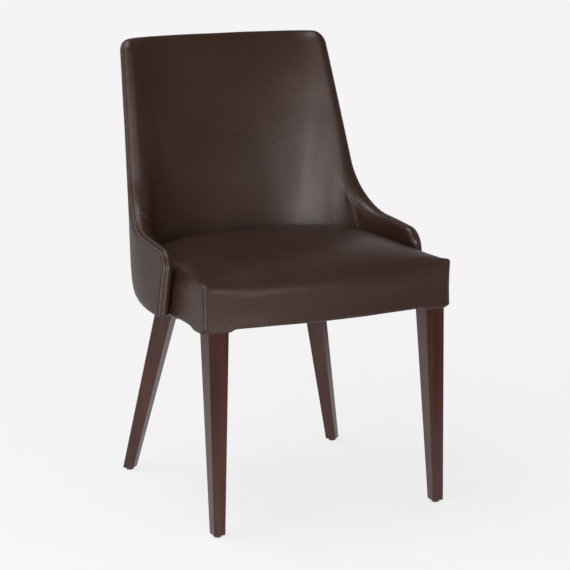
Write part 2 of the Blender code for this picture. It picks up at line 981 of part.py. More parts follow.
def make_front_block(side, name):
    """Triangular corner block, notched round the inner corner of the leg head."""
    leg_in_x = front_leg_x - front_leg_head / 2 - frame_clearance
    leg_in_y = front_leg_y + front_leg_head / 2 + frame_clearance
    rail_in_x = front_leg_outer - rail_thickness - frame_clearance
    rail_in_y = front_rail_back + frame_clearance
    outline = [
        (leg_in_x, rail_in_y), (leg_in_x, leg_in_y), (rail_in_x, leg_in_y),
        (rail_in_x, leg_in_y + corner_block_reach),
        (rail_in_x - rail_thickness / 2, leg_in_y + corner_block_reach),
        (leg_in_x - corner_block_reach, rail_in_y + rail_thickness / 2),
        (leg_in_x - corner_block_reach, rail_in_y)]
    outline = [(side * x, y) for x, y in outline]
    return plate(name, outline, rail_bottom, rail_top, frame_wood)


# Legs

def leg(name, sections, turn):
    """A square leg lofted through (x, y, z, width) sections, drilled for its glide."""
    work = bmesh.new()
    rings = []
    for x, y, z, width in sections:
        ring = []
        for quarter in range(4):
            angle = turn + pi / 4 + quarter * pi / 2
            reach = width / sqrt(2)
            ring.append(work.verts.new((x + reach * cos(angle), y + reach * sin(angle), z)))
        rings.append(ring)
    for lower, upper in zip(rings, rings[1:]):
        for quarter in range(4):
            after = (quarter + 1) % 4
            work.faces.new((lower[quarter], lower[after], upper[after], upper[quarter]))
    work.faces.new(rings[0])
    work.faces.new(rings[-1])
    made = add_object(name, mesh_from(work, name), stained_wood)
    bevel(made)
    x, y = sections[0][:2]
    nail_room = glide_nail_diameter / 2 + frame_clearance
    drill([made], (x, y, glide_height), (0, 0, 1), nail_room, -overrun, glide_nail_length + frame_clearance)
    return made


leg_bottom = glide_height + frame_clearance


def make_front_leg(side, name):
    share = leg_bottom / hem_height
    foot = (side * lerp(front_foot_x, front_leg_x, share), lerp(front_foot_y, front_leg_y, share))
    head = (side * front_leg_x, front_leg_y)
    sections = [(*foot, leg_bottom, lerp(front_leg_foot, front_leg_head, share)),
                (*head, hem_height, front_leg_head), (*head, rail_top, front_leg_head)]
    return leg(name, sections, 0.0)


def make_rear_leg(side, name):
    share = leg_bottom / hem_height
    foot = (side * lerp(rear_foot_x, rear_leg_x, share), lerp(rear_foot_y, rear_leg_y, share))
    head = (side * rear_leg_x, rear_leg_y)
    sections = [(*foot, leg_bottom, lerp(rear_leg_foot, rear_leg_head, share)),
                (*head, hem_height, rear_leg_head), (*head, rail_top, rear_leg_head)]
    return leg(name, sections, rear_leg_turn)


def make_glide(name, x, y):
    """Round pad with its nail, in one piece."""
    nail = glide_nail_diameter / 2
    pad = glide_diameter / 2
    round_over = glide_height / 4
    tip = glide_height + glide_nail_length
    profile = [(0, tip), (nail / 2, tip), (nail, tip - nail), (nail, glide_height),
               (pad - round_over, glide_height), (pad, glide_height - round_over),
               (pad, round_over), (pad - round_over, 0), (0, 0)]
    return turned(name, profile, Matrix.Translation((x, y, 0)), glide_plastic)


# Bolts

def drill(targets, point, direction, radius, start, end):
    counterbore(targets, point, direction, [(radius, end), (radius, start)])


def counterbore(targets, point, direction, steps):
    """A hole of (radius, station) steps, from its mouth inwards."""
    profile = [(0, steps[0][1]), *steps, (0, steps[-1][1])]
    hole = turned("drill", profile, along(point, direction), group=cutters)
    for target in targets:
        cut(target, hole)


def make_bolt(name, point, direction, start, end):
    """Cap bolt with a captive washer: the washer seats at start, the shank ends at end."""
    head = bolt_head_diameter / 2
    shank = bolt_diameter / 2
    key = hex_key_width / 2
    seat = start - washer_thickness
    top = seat - bolt_head_height
    washer = washer_diameter / 2
    recess = top + bolt_head_height / 2
    profile = [(0, end), (shank, end), (shank, start), (washer, start), (washer, seat),
               (head, seat), (head, top), (key, top), (key, recess), (0, recess)]
    return turned(name, profile, along(point, direction), steel)


def make_insert(name, point, direction, start, end):
    """Threaded insert, modelled as a plain sleeve."""
    outer = insert_diameter / 2
    bore = bolt_diameter / 2 + frame_clearance
    profile = [(bore, end), (outer, end), (outer, start), (bore, start)]
    return turned(name, profile, along(point, direction), steel)


def make_tnut(name, point, direction, flange_end):
    """Barrel and flange, set in the outside of the shell."""
    bore = bolt_diameter / 2 + frame_clearance
    barrel = tnut_barrel_diameter / 2
    flange = tnut_flange_diameter / 2
    under = flange_end - tnut_flange_thickness
    start = under - tnut_barrel_length
    profile = [(bore, flange_end), (flange, flange_end), (flange, under), (barrel, under),
               (barrel, start), (bore, start)]
    return turned(name, profile, along(point, direction), steel)


def fit_front_bolt(side, tag, leg_object, block_object):
    """Through the corner block, square to its long face, into an insert in the leg."""
    direction = Vector((side, -1, 0)).normalized()
    leg_in_x = front_leg_x - front_leg_head / 2
    leg_in_y = front_leg_y + front_leg_head / 2
    corner = Vector((side * leg_in_x, leg_in_y, bolt_height))
    face = block_face_distance()
    hole = bolt_diameter / 2 + frame_clearance
    drill([block_object], corner, direction, hole, -face - overrun, overrun)
    room = insert_diameter / 2 + frame_clearance
    start = insert_depth - insert_length
    drill([leg_object], corner, direction, room, -overrun, insert_depth + frame_clearance)
    make_bolt("leg_bolt_front_" + tag, corner, direction, -face - frame_clearance, insert_depth)
    make_insert("leg_insert_front_" + tag, corner, direction, start, insert_depth)


def block_face_distance():
    """From the leg's inner corner back to the long face of the front corner block."""
    rail_in_x = front_leg_outer - rail_thickness - frame_clearance
    leg_in_y = front_leg_y + front_leg_head / 2 + frame_clearance
    point = Vector((rail_in_x - rail_thickness / 2, leg_in_y + corner_block_reach))
    corner = Vector((front_leg_x - front_leg_head / 2, front_leg_y + front_leg_head / 2))
    return -(point - corner).dot(Vector((1, -1)).normalized())


def fit_shell_bolt(name, place, direction, seat_distance, wood_parts, shell_object):
    """From inside the frame, through the wood, into a T-nut sunk in the outside of the shell."""
    hole = bolt_diameter / 2 + frame_clearance
    barrel = tnut_barrel_diameter / 2 + frame_clearance
    flange = tnut_flange_diameter / 2 + frame_clearance
    flange_end = -tnut_seat_depth
    flange_start = flange_end - tnut_flange_thickness
    seat = flange_start - frame_clearance
    drill(wood_parts, place, direction, hole, -seat_distance - overrun, overrun)
    counterbore([shell_object], place, direction,
                [(flange, overrun), (flange, seat), (barrel, seat), (barrel, -overrun)])
    make_bolt(name, place, direction, -seat_distance - frame_clearance, flange_start)
    make_tnut(name.replace("bolt", "tnut"), place, direction, flange_end)


def fit_rear_leg_bolt(side, tag, leg_object, block_object, shell_object):
    """Square to the turned leg's faces, through its head, the corner block and the shell."""
    axis_offset = rear_leg_x - rear_leg_y
    girth = girth_at(bolt_height, shell_outer_depth, to_corner, axis_offset)
    place = shell_point(girth, bolt_height, shell_outer_depth)
    reach = hypot(place.x - rear_leg_x, place.y - rear_leg_y) + rear_leg_head / 2
    place.x *= side
    direction = Vector((side, 1, 0)).normalized()
    fit_shell_bolt("leg_bolt_rear_" + tag, place, direction, reach, [leg_object, block_object], shell_object)


def fit_rail_bolt(side, tag, rail_object, shell_object):
    """Straight back through the rear rail and the shell."""
    girth = girth_at(bolt_height, shell_outer_depth, to_side, rear_bolt_spacing / 2)
    place = shell_point(girth, bolt_height, shell_outer_depth)
    reach = place.y - rear_rail_front
    place.x *= side
    direction = Vector((0, 1, 0))
    fit_shell_bolt("rail_bolt_rear_" + tag, place, direction, reach, [rail_object], shell_object)


# Webbing and cloths

def strap(name, along_x, centre, ends, crossings, over_first):
    """A strap woven over and under the straps that cross it."""
    half = webbing_width / 2
    margin = (webbing_pitch - webbing_width) / 4
    stations = [(ends[0], False)]
    over = over_first
    for crossing in crossings:
        stations += [(crossing - half - margin, over), (crossing + half + margin, over)]
        over = not over
    stations.append((ends[1], False))
    work = bmesh.new()
    rows = []
    for station, high in stations:
        height = webbing_high if high else webbing_low
        row = []
        for side in (-half, half):
            x, y = (station, centre + side) if along_x else (centre + side, station)
            row.append(work.verts.new((x, y, height + webbing_thickness)))
        rows.append(row)
    for lower, upper in zip(rows, rows[1:]):
        work.faces.new((lower[0], lower[1], upper[1], upper[0]))
    mesh = mesh_from(work, name)
    if mesh.polygons[0].normal.z < 0:
        mesh.flip_normals()
    made = add_object(name, mesh, webbing_cloth)
    thicken(made, webbing_thickness)
    return made


def make_webbing():
    long_places = [(index - (long_straps - 1) / 2) * webbing_pitch for index in range(long_straps)]
    cross_places = [webbing_middle + (index - (cross_straps - 1) / 2) * webbing_pitch
                    for index in range(cross_straps)]
    front = front_rail_back - rail_thickness / 2
    back = rear_rail_front + rail_thickness / 4
    side = front_leg_outer - rail_thickness / 4
    for index, place in enumerate(long_places):
        strap("webbing_long_" + str(index + 1), False, place, (front, back), cross_places, index % 2 == 0)
    for index, place in enumerate(cross_places):
        strap("webbing_cross_" + str(index + 1), True, place, (-side, side), long_places, index % 2 == 1)


def make_deck_cloth():
    return plate("deck_cloth", frame_outline(deck_bottom, cloth_margin), deck_bottom, deck_top, dark_cloth)


def make_dust_cover():
    top = rail_bottom - frame_clearance
    bottom = top - cloth_thickness
    made = plate("dust_cover", frame_outline(bottom, dust_cover_margin), bottom, top, dark_cloth)
    for side in (1, -1):
        half = front_leg_head / 2 + dust_cover_margin
        reach = half + overrun
        x, y = side * front_leg_x, front_leg_y
        low_x, high_x = sorted((x - side * half, x + side * reach))
        front = block("front_leg_notch", (low_x, y - reach, bottom - overrun),
                      (high_x, y + half, top + overrun), group=cutters)
        cut(made, front)
        half = rear_leg_head / 2 + dust_cover_margin
        rear = block("rear_leg_notch", (-half, -half, bottom - overrun),
                     (half, reach, top + overrun), group=cutters)
        place = Matrix.Translation((side * rear_leg_x, rear_leg_y, 0))
        rear.matrix_world = place @ Matrix.Rotation(-side * rear_leg_turn, 4, "Z")
        cut(made, rear)
    return made


# Assembly

def build():
    shell = make_back_shell()
    make_outside_wadding()
    make_outside_back_cover()
    make_inside_back_cover()
    make_back_foam()
    make_seat_cover()
    make_seat_foam()
    make_front_rail()
    rear_rail = make_rear_rail()
    for side, tag in ((-1, "left"), (1, "right")):
        make_inside_wing_cover(side, "inside_wing_cover_" + tag)
        make_side_rail(side, "side_rail_" + tag)
        front_block = make_front_block(side, "corner_block_front_" + tag)
        rear_block = make_rear_block(side, "corner_block_rear_" + tag)
        front_leg = make_front_leg(side, "front_leg_" + tag)
        rear_leg = make_rear_leg(side, "rear_leg_" + tag)
        share = leg_bottom / hem_height
        make_glide("glide_front_" + tag, side * lerp(front_foot_x, front_leg_x, share),
                   lerp(front_foot_y, front_leg_y, share))
        make_glide("glide_rear_" + tag, side * lerp(rear_foot_x, rear_leg_x, share),
                   lerp(rear_foot_y, rear_leg_y, share))
        fit_front_bolt(side, tag, front_leg, front_block)
        fit_rear_leg_bolt(side, tag, rear_leg, rear_block, shell)
        fit_rail_bolt(side, tag, rear_rail, shell)
    make_webbing()
    make_deck_cloth()
    make_dust_cover()


build()
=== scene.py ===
# Looks of the upholstered chair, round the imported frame. Metres, +Z up, front towards -Y.

from math import cos, pi, radians, sin

import bmesh
import bpy
import numpy as np
from mathutils import Euler, Matrix, Vector, noise
from mathutils.kdtree import KDTree


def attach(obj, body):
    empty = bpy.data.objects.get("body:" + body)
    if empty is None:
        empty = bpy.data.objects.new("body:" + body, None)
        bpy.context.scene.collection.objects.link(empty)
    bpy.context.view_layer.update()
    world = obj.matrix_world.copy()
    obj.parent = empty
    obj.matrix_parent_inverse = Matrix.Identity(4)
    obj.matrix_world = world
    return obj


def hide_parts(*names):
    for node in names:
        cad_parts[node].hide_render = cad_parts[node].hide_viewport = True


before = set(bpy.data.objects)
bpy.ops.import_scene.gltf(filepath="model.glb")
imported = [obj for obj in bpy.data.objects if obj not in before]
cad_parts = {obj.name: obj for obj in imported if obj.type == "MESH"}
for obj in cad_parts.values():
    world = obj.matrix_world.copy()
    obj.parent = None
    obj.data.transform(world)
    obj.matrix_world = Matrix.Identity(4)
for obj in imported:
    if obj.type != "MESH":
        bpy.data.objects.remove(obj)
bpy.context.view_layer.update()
millimetre = 0.001

# Sizes of the chair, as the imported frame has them
overall_height = 0.860
overall_width = 0.550
overall_depth = 0.542
hem_height = 0.383
back_lean = 0.073
lower_depth = 0.310
lower_squareness = 3.0
upper_half_width = 0.219
upper_depth = 0.090
upper_squareness = 3.2
top_corner_girth = 0.2475
top_corner_radius = 0.029
scoop_girth = 0.305
scoop_height = 0.5190
scoop_radius = 0.112
wing_height = 0.5005
wing_reach = 0.315
wing_corner_radius = 0.032
frame_wing_thickness = 0.020
wing_thickness = 0.0225
lumbar_thickness = 0.064
lumbar_height = 0.495
crest_thickness = 0.046
pad_full_girth = 0.160
pad_end_girth = 0.460
dart_girth = 0.328
edge_seam_angle = radians(45)
wing_seam_angle = radians(56)
seam_settled_height = 0.619
shell_outer_depth = 0.0050
shell_inner_depth = 0.0140
seat_side_gap = 0.0064
seat_bow = 0.0185
seat_corner_radius = 0.0105
seat_front_edge = 0.4745
seat_corner_edge = 0.4675
seat_rear_edge = 0.4845
seat_crown = 0.4990
seat_edge_radius = 0.036
seat_corner_edge_radius = 0.017
seat_tip_radius = 0.006
seat_peak = 0.0016
seat_side_waist = 0.0012
seat_side_bulge = 0.0030
seat_back_clearance = 0.0013
skirt_inset = 0.0077
frame_back_line = 0.030
foam_bottom = 0.4448
leather_bottom = foam_bottom + 0.001
front_leg_half = 0.020
front_leg_side_cover = 0.0088
front_leg_front_cover = 0.0015
rear_leg_x = 0.149
rear_leg_y = 0.133
rear_leg_half = 0.019

# The stuffed leather stands a little wider than the frame's plain solids, and its top edge is pulled down. Its hem
# is folded under in steps, each of a reach and a drop
stuffed = 1.019
leather_top = overall_height - 0.0035
hem_fold = 0.0031
hem_line = hem_height + hem_fold
hem_tuck = 0.0036
hem_tuck_rise = 0.056
hem_tuck_girth = 0.31
hem_tuck_fade = 0.18
flap_depth = 0.0185
fold_steps = ((0.0002, -0.0015), (0.0006, -0.0026), (0.0012, -0.0033), (0.0026, -0.0037))
fold_top = -0.0010
outside_hidden_depth = shell_outer_depth - 0.0004
inside_hidden_depth = shell_inner_depth + 0.0006

# Derived places
crest_edge = overall_height - crest_thickness / 2
lean_share = (overall_height - hem_height) / (crest_edge - hem_height)
lower_half_width = overall_width / 2
lower_rear = overall_depth / 2 - back_lean
upper_rear = lower_rear + back_lean * lean_share
wing_front = lower_rear - wing_reach
frame_seat_half = lower_half_width - frame_wing_thickness - seat_side_gap
seat_half_width = frame_seat_half * stuffed
seat_corner_front = seat_bow - overall_depth / 2
seat_middle = (seat_corner_front + lower_rear - lumbar_thickness) / 2
front_leg_x = frame_seat_half - front_leg_side_cover - front_leg_half
front_leg_y = seat_corner_front + front_leg_front_cover + front_leg_half

# How finely the leather is divided
plan_steps = 140
pattern_counts = {
    "top": 22, "top_corner": 14, "side": 22, "scoop": 20, "wing": 14, "wing_corner": 14, "front": 30}
pattern_rows = pattern_counts["front"] + pattern_counts["wing_corner"] // 2
top_ease = 1.2
hem_ease = 1.4
outside_ease = 1.9
normal_reach = 0.004

# Seams: distances from the seam, and how far the leather dips there
stitch_distance = 0.0042
stitch_pitch = 0.0042
stitch_length = 0.0031
stitch_width = 0.0010
seam_distances = millimetre * np.array(
    [9.0, 7.4, 6.2, 5.4, 4.9, 4.5, 4.2, 3.9, 3.5, 2.9, 2.1, 1.4, 0.8, 0.4, 0.2, 0.1])
groove_bottom = 0.0030
dart_share = 0.32
far_from_seam = 0.05


def seam_dip(distance):
    """How far the leather lies below its full form, near a seam with a row of stitches."""
    groove = 1.1 * millimetre * np.exp(-distance / (0.40 * millimetre))
    dent = 0.55 * millimetre * np.exp(-((distance - stitch_distance) / (0.85 * millimetre)) ** 2)
    welt = 0.25 * millimetre * np.exp(-((distance - stitch_distance / 2) / (1.2 * millimetre)) ** 2)
    return groove + dent - welt


def hidden_shift(girth, height):
    """How much deeper the plywood shell lies where the leather stands wider."""
    outer, inner = wall(girth, height, 0.0), wall(girth, height, millimetre)
    lean = np.abs(inner[..., 0] - outer[..., 0]) / millimetre
    return (1 - 1 / stuffed) * np.abs(outer[..., 0]) * lean


def hem_tuck_depth(girth, height):
    """How far the outside leather curves in towards its hem."""
    near = np.clip(1 - (height - hem_line) / hem_tuck_rise, 0, 1)
    fade = 1 - fade_in(np.abs(girth), hem_tuck_girth, hem_tuck_fade)
    return (hem_tuck + hidden_shift(girth, height)) * fade * (1 - np.sqrt(1.0001 - near ** 2))


# Small tools

def lerp(first, second, share):
    return first + (second - first) * share


def smooth_step(share):
    share = np.clip(share, 0.0, 1.0)
    return share * share * (3 - 2 * share)


def fade_in(value, start, width):
    """0 up to the start, and 1 from a width after it."""
    return smooth_step((value - start) / width)


def run_along(points):
    """Length along a line of points, at each of them."""
    return np.concatenate([[0.0], np.cumsum(np.linalg.norm(np.diff(points, axis=0), axis=1))])


def read_at(place, run, table):
    """Rows of a table over a run, read between its entries."""
    return np.stack([np.interp(place, run, table[:, side]) for side in range(table.shape[1])], axis=-1)


def point_tree(points):
    tree = KDTree(len(points))
    for index, point in enumerate(points):
        tree.insert(point, index)
    tree.balance()
    return tree


# The outer surface of the back shell: girth and height bent round the seat

def plan_curve(half_width, depth, rear, squareness):
    """Half of a level line round the back: a rounded quarter, and from its end straight forward."""
    angle = pi / 2 * np.arange(plan_steps + 1) / plan_steps
    x = half_width * np.sin(angle) ** (2 / squareness)
    y = rear - depth + depth * np.clip(np.cos(angle), 0, 1) ** (2 / squareness)
    return np.vstack([np.column_stack([x, y]), [[x[-1], -overall_depth]]])


low_curve = plan_curve(lower_half_width, lower_depth, lower_rear, lower_squareness)
high_curve = plan_curve(upper_half_width, upper_depth, upper_rear, upper_squareness)


def outer_points(girth, height):
    """Points of the outer surface, whose level lines go over from the low curve to the high one."""
    girth, height = np.broadcast_arrays(np.asarray(girth, float), np.asarray(height, float))
    shape = girth.shape
    girth, height = girth.ravel(), height.ravel()
    made = np.empty((girth.size, 3))
    batch = 3000
    for start in range(0, girth.size, batch):
        part = slice(start, start + batch)
        share = (height[part] - hem_height) / (overall_height - hem_height)
        points = low_curve[None] + (high_curve - low_curve)[None] * share[:, None, None]
        step = np.diff(points, axis=1)
        run = np.hypot(step[..., 0], step[..., 1])
        total = np.concatenate([np.zeros((len(run), 1)), np.cumsum(run, axis=1)], axis=1)
        reach = np.abs(girth[part])
        after = np.clip((total < reach[:, None]).sum(1), 1, total.shape[1] - 1)
        row = np.arange(len(run))
        along = (reach - total[row, after - 1]) / run[row, after - 1]
        place = points[row, after - 1] + step[row, after - 1] * along[:, None]
        made[part, 0] = np.where(girth[part] >= 0, place[:, 0], -place[:, 0]) * stuffed
        made[part, 1] = place[:, 1]
        made[part, 2] = height[part]
    return made.reshape(shape + (3,))


def wall(girth, height, depth):
    """Points at a depth inside the outer surface, measured level."""
    girth, height, depth = np.broadcast_arrays(
        np.asarray(girth, float), np.asarray(height, float), np.asarray(depth, float))
    around = outer_points(girth + normal_reach, height) - outer_points(girth - normal_reach, height)
    normal = np.stack([around[..., 1], -around[..., 0]], axis=-1)
    normal /= np.linalg.norm(normal, axis=-1, keepdims=True)
    made = outer_points(girth, height)
    made[..., :2] += normal * depth[..., None]
    return made


def thickness(girth, height):
    """From the outer surface to the inner one: the pad is thick in the back and thin in the wings."""
    rise = np.clip((height - lumbar_height) / (overall_height - lumbar_height), 0, 1)
    pad = lerp(lumbar_thickness, crest_thickness, rise)
    fall = smooth_step((pad_end_girth - np.abs(girth)) / (pad_end_girth - pad_full_girth))
    return lerp(wing_thickness, pad, fall)


def front_girth(height, depth):
    """Girth at which the wall at a depth comes forward to the end of the wings."""
    low, high = 0.0, overall_height
    for _ in range(40):
        middle = (low + high) / 2
        if -wall(middle, height, depth)[1] < -wing_front:
            low = middle
        else:
            high = middle
    return (low + high) / 2


# The flat pattern, with its rim as arrays over a running index

def rounded_outline(corners, radii, counts):
    """Points along straight runs between corners and arcs round them, with a count of steps for each."""
    points = []
    start = Vector(corners[0])
    for index in range(1, len(corners) - 1):
        corner = Vector(corners[index])
        back = (Vector(corners[index - 1]) - corner).normalized()
        ahead = (Vector(corners[index + 1]) - corner).normalized()
        half = back.angle(ahead) / 2
        radius = radii[index - 1]
        run = radius / (sin(half) / cos(half))
        centre = corner + (back + ahead).normalized() * (radius / sin(half))
        first, last = corner + back * run, corner + ahead * run
        run_steps, arc_steps = counts[2 * index - 2], counts[2 * index - 1]
        ease = top_ease if index == 1 else 1
        points += [start.lerp(first, 1 - (1 - step / run_steps) ** ease) for step in range(run_steps)]
        arm_first, arm_last = first - centre, last - centre
        sweep = arm_first.angle(arm_last)
        for step in range(arc_steps):
            share = step / arc_steps
            arm = (arm_first * sin(sweep * (1 - share)) + arm_last * sin(sweep * share)) / sin(sweep)
            points.append(centre + arm)
        start = last
    end = Vector(corners[-1])
    points += [start.lerp(end, 1 - (1 - step / counts[-1]) ** hem_ease) for step in range(counts[-1] + 1)]
    return points


rim = np.array([tuple(point) for point in rounded_outline(
    [(0.0, leather_top), (top_corner_girth, leather_top), (scoop_girth, scoop_height),
     (front_girth(wing_height, 0.0), wing_height), (front_girth(hem_height, 0.0), hem_line)],
    [top_corner_radius, scoop_radius, wing_corner_radius],
    list(pattern_counts.values()))])
rim_last = len(rim) - 1
columns = rim_last - pattern_rows
rim_run = run_along(rim)
rim_index = np.arange(rim_last + 1)

chord = rim[np.minimum(rim_index + 1, rim_last)] - rim[np.maximum(rim_index - 1, 0)]
chord /= np.linalg.norm(chord, axis=1, keepdims=True)
rim_in = np.column_stack([chord[:, 1], -chord[:, 0]])
rim_in[0] = (0.0, -1.0)
rim_in[-1] = (-1.0, 0.0)
rim_roll = thickness(rim[:, 0], rim[:, 1]) / 2
settle = fade_in(rim[:, 1], wing_height, seam_settled_height - wing_height)
rim_seam = lerp(wing_seam_angle, edge_seam_angle, settle)


def at(table, place):
    """A table over the rim's index, read between its entries."""
    return np.interp(place, rim_index, table) if table.ndim == 1 else read_at(place, rim_index, table)


def rim_inside(place):
    """Pattern points inside the rim by the radius of its roll."""
    return at(rim, place) + at(rim_in, place) * at(rim_roll, place)[..., None]


def roll(place, angle, offset):
    """Points on the rolled rim: angle 0 is the outer face, 180 degrees the inner face."""
    radius = at(rim_roll, place)
    inset = radius - (radius - offset) * np.sin(angle)
    flat = at(rim, place) + at(rim_in, place) * inset[..., None]
    return wall(flat[..., 0], flat[..., 1], radius - (radius - offset) * np.cos(angle))


def field(places, low_edge=None, ease=1.0):
    """Pattern points (row, column, 2) of the field under the rim, for columns at given places on the rim.
    With an ease above 1 the rows are closer near the hem."""
    places = np.asarray(places, float)
    across = places / columns
    top = rim_inside(places)
    last = rim_inside(np.array(float(rim_last)))
    corner = rim_inside(np.array(float(columns)))
    low = np.column_stack([last[0] * across, np.full(len(places), hem_line)])
    rows = []
    for row in range(pattern_rows + 1):
        right = rim_inside(np.array(float(columns + pattern_rows - row)))
        right_share = (right[1] - hem_line) / (corner[1] - hem_line)
        rise = lerp((row / pattern_rows) ** ease, right_share, across * across)
        if low_edge is not None:
            start = (low_edge - hem_line) / (top[:, 1] - hem_line)
            rise = start + (1 - start) * rise
        point = low + (top - low) * rise[:, None]
        on_chord = lerp(last, corner, right_share)
        rows.append(point + (right - on_chord)[None] * (across ** 4)[:, None])
    return np.array(rows)


# Meshes as rows of points

def new_mesh(name, points, faces):
    made = bpy.data.meshes.new(name)
    made.from_pydata([tuple(point) for point in points], [], faces)
    return made


def new_object(name, data):
    made = bpy.data.objects.new(name, data)
    bpy.context.scene.collection.objects.link(made)
    return made


class Skin:
    labels = ("seam", "run", "soft")

    def __init__(self):
        self.points = []
        self.marks = []
        self.faces = []
        self.count = 0

    def line(self, points, seam=far_from_seam, run=0.0, soft=0.0):
        """A row of points: distance to the nearest seam, length along it, and how far it may relax."""
        points = np.asarray(points, float).reshape(-1, 3)
        self.points.append(points)
        mark = np.empty((len(points), 3))
        mark[:, 0], mark[:, 1], mark[:, 2] = seam, run, soft
        self.marks.append(mark)
        self.count += len(points)
        return list(range(self.count - len(points), self.count))

    def join(self, first, second):
        for index in range(len(first) - 1):
            quad = (first[index], first[index + 1], second[index + 1], second[index])
            if len(set(quad)) > 2:
                self.faces.append(tuple(dict.fromkeys(quad)))

    def join_all(self, rows):
        for first, second in zip(rows, rows[1:]):
            self.join(first, second)

    def fan(self, ring, tip):
        for index in range(len(ring) - 1):
            self.faces.append((ring[index], ring[index + 1], tip))

    def mesh(self, name, mirrored=False):
        points, marks, faces = np.vstack(self.points), np.vstack(self.marks), list(self.faces)
        if mirrored:
            middle = np.abs(points[:, 0]) < 1e-6
            points[middle, 0] = 0.0
            count = len(points)
            other = np.where(middle, np.arange(count), count + np.cumsum(~middle) - 1)
            faces += [tuple(int(other[corner]) for corner in reversed(face)) for face in faces]
            points = np.vstack([points, points[~middle] * (-1, 1, 1)])
            marks = np.vstack([marks, marks[~middle]])
        made = new_mesh(name, points, faces)
        for side, label in enumerate(self.labels):
            layer = made.attributes.new(label, "FLOAT", "POINT")
            layer.data.foreach_set("value", np.ascontiguousarray(marks[:, side], np.float32))
        work = bmesh.new()
        work.from_mesh(made)
        bmesh.ops.recalc_face_normals(work, faces=work.faces)
        work.to_mesh(made)
        work.free()
        made.shade_smooth()
        return made


def add_piece(name, mesh, look, replaced=()):
    piece = new_object(name, mesh)
    mesh.materials.clear()
    mesh.materials.append(look)
    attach(piece, "root")
    if replaced:
        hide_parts(*replaced)
    return piece


def read(items, name, size, kind=np.float32):
    """A value of every vertex or edge, in rows of a size."""
    made = np.empty(len(items) * size, kind)
    items.foreach_get(name, made)
    return made.reshape(-1, size)


def coordinates(mesh):
    return read(mesh.vertices, "co", 3).astype(float)


def normals(mesh):
    return read(mesh.vertices, "normal", 3).astype(float)


def mark_of(mesh, label):
    return read(mesh.attributes[label].data, "value", 1)[:, 0].astype(float)


def set_coordinates(mesh, points):
    mesh.vertices.foreach_set("co", np.ascontiguousarray(points, np.float32).ravel())
    mesh.update()


def relax(mesh, weights, times):
    """Evens out the form where weights let it, as stuffing under stretched leather does."""
    edges = read(mesh.edges, "vertices", 2, np.int32)
    first, second = np.vstack([edges, edges[:, ::-1]]).T
    points = coordinates(mesh)
    count = len(points)
    near = np.maximum(np.bincount(first, minlength=count), 1)
    for _ in range(times):
        middle = np.column_stack([np.bincount(first, points[second, axis], count) for axis in range(3)])
        points += (middle / near[:, None] - points) * weights[:, None] * 0.5
    set_coordinates(mesh, points)


def uneven(mesh, amount, size, seed):
    """Slight waves, as hide over soft padding has."""
    points, out = coordinates(mesh), normals(mesh)
    shift = Vector((seed, -seed, seed))
    wave = np.array([noise.noise(Vector(point) / size + shift) for point in points])
    set_coordinates(mesh, points + out * (wave * mark_of(mesh, "soft") * amount)[:, None])


swell_voxel = 0.006
swell_frames = 14
swell_limit = 0.004
swell_settings = {
    "use_pressure": True, "uniform_pressure_force": 4.0, "vertex_group_mass": "hold", "quality": 5, "mass": 0.4,
    "tension_stiffness": 30, "compression_stiffness": 30, "shear_stiffness": 12, "bending_stiffness": 1.5}


def swell(mesh, pinned):
    """Inflates a remeshed copy as cloth and carries its movement over to the fine mesh."""
    scene = bpy.context.scene
    trial = new_object("trial", mesh.copy())
    bpy.context.view_layer.objects.active = trial
    remesh = trial.modifiers.new("Remesh", "REMESH")
    remesh.mode = "VOXEL"
    remesh.voxel_size = swell_voxel
    remesh.use_smooth_shade = True
    solid = bpy.data.meshes.new_from_object(trial.evaluated_get(bpy.context.evaluated_depsgraph_get()))
    trial.modifiers.clear()
    trial.data = solid
    start = coordinates(solid)
    hold = trial.vertex_groups.new(name="hold")
    weights = np.round(pinned(start), 2)
    for level in sorted(set(weights)):
        hold.add(np.nonzero(weights == level)[0].tolist(), float(level), "REPLACE")
    cloth = trial.modifiers.new("Cloth", "CLOTH")
    for label, value in swell_settings.items():
        setattr(cloth.settings, label, value)
    cloth.settings.effector_weights.gravity = 0.0
    cloth.collision_settings.use_collision = False
    scene.frame_start, scene.frame_end = 1, swell_frames
    for number in range(1, swell_frames + 1):
        scene.frame_set(number)
    after = trial.evaluated_get(bpy.context.evaluated_depsgraph_get())
    moved = coordinates(after.data) - start
    length = np.linalg.norm(moved, axis=1)
    moved *= (np.minimum(length, swell_limit) / np.maximum(length, 1e-9))[:, None]
    tree = point_tree(start)
    points = coordinates(mesh)
    shift = np.zeros_like(points)
    for index, point in enumerate(points):
        found = [(1.0 / (distance + 0.002) ** 2, moved[near]) for _, near, distance in tree.find_n(point, 8)]
        shift[index] = sum(way * weight for weight, way in found) / sum(weight for weight, _ in found)
    shift *= (1 - pinned(points))[:, None]
    set_coordinates(mesh, points + shift)
    bpy.data.objects.remove(trial)
    bpy.data.meshes.remove(solid)
    scene.frame_set(1)


# Leather on the back shell

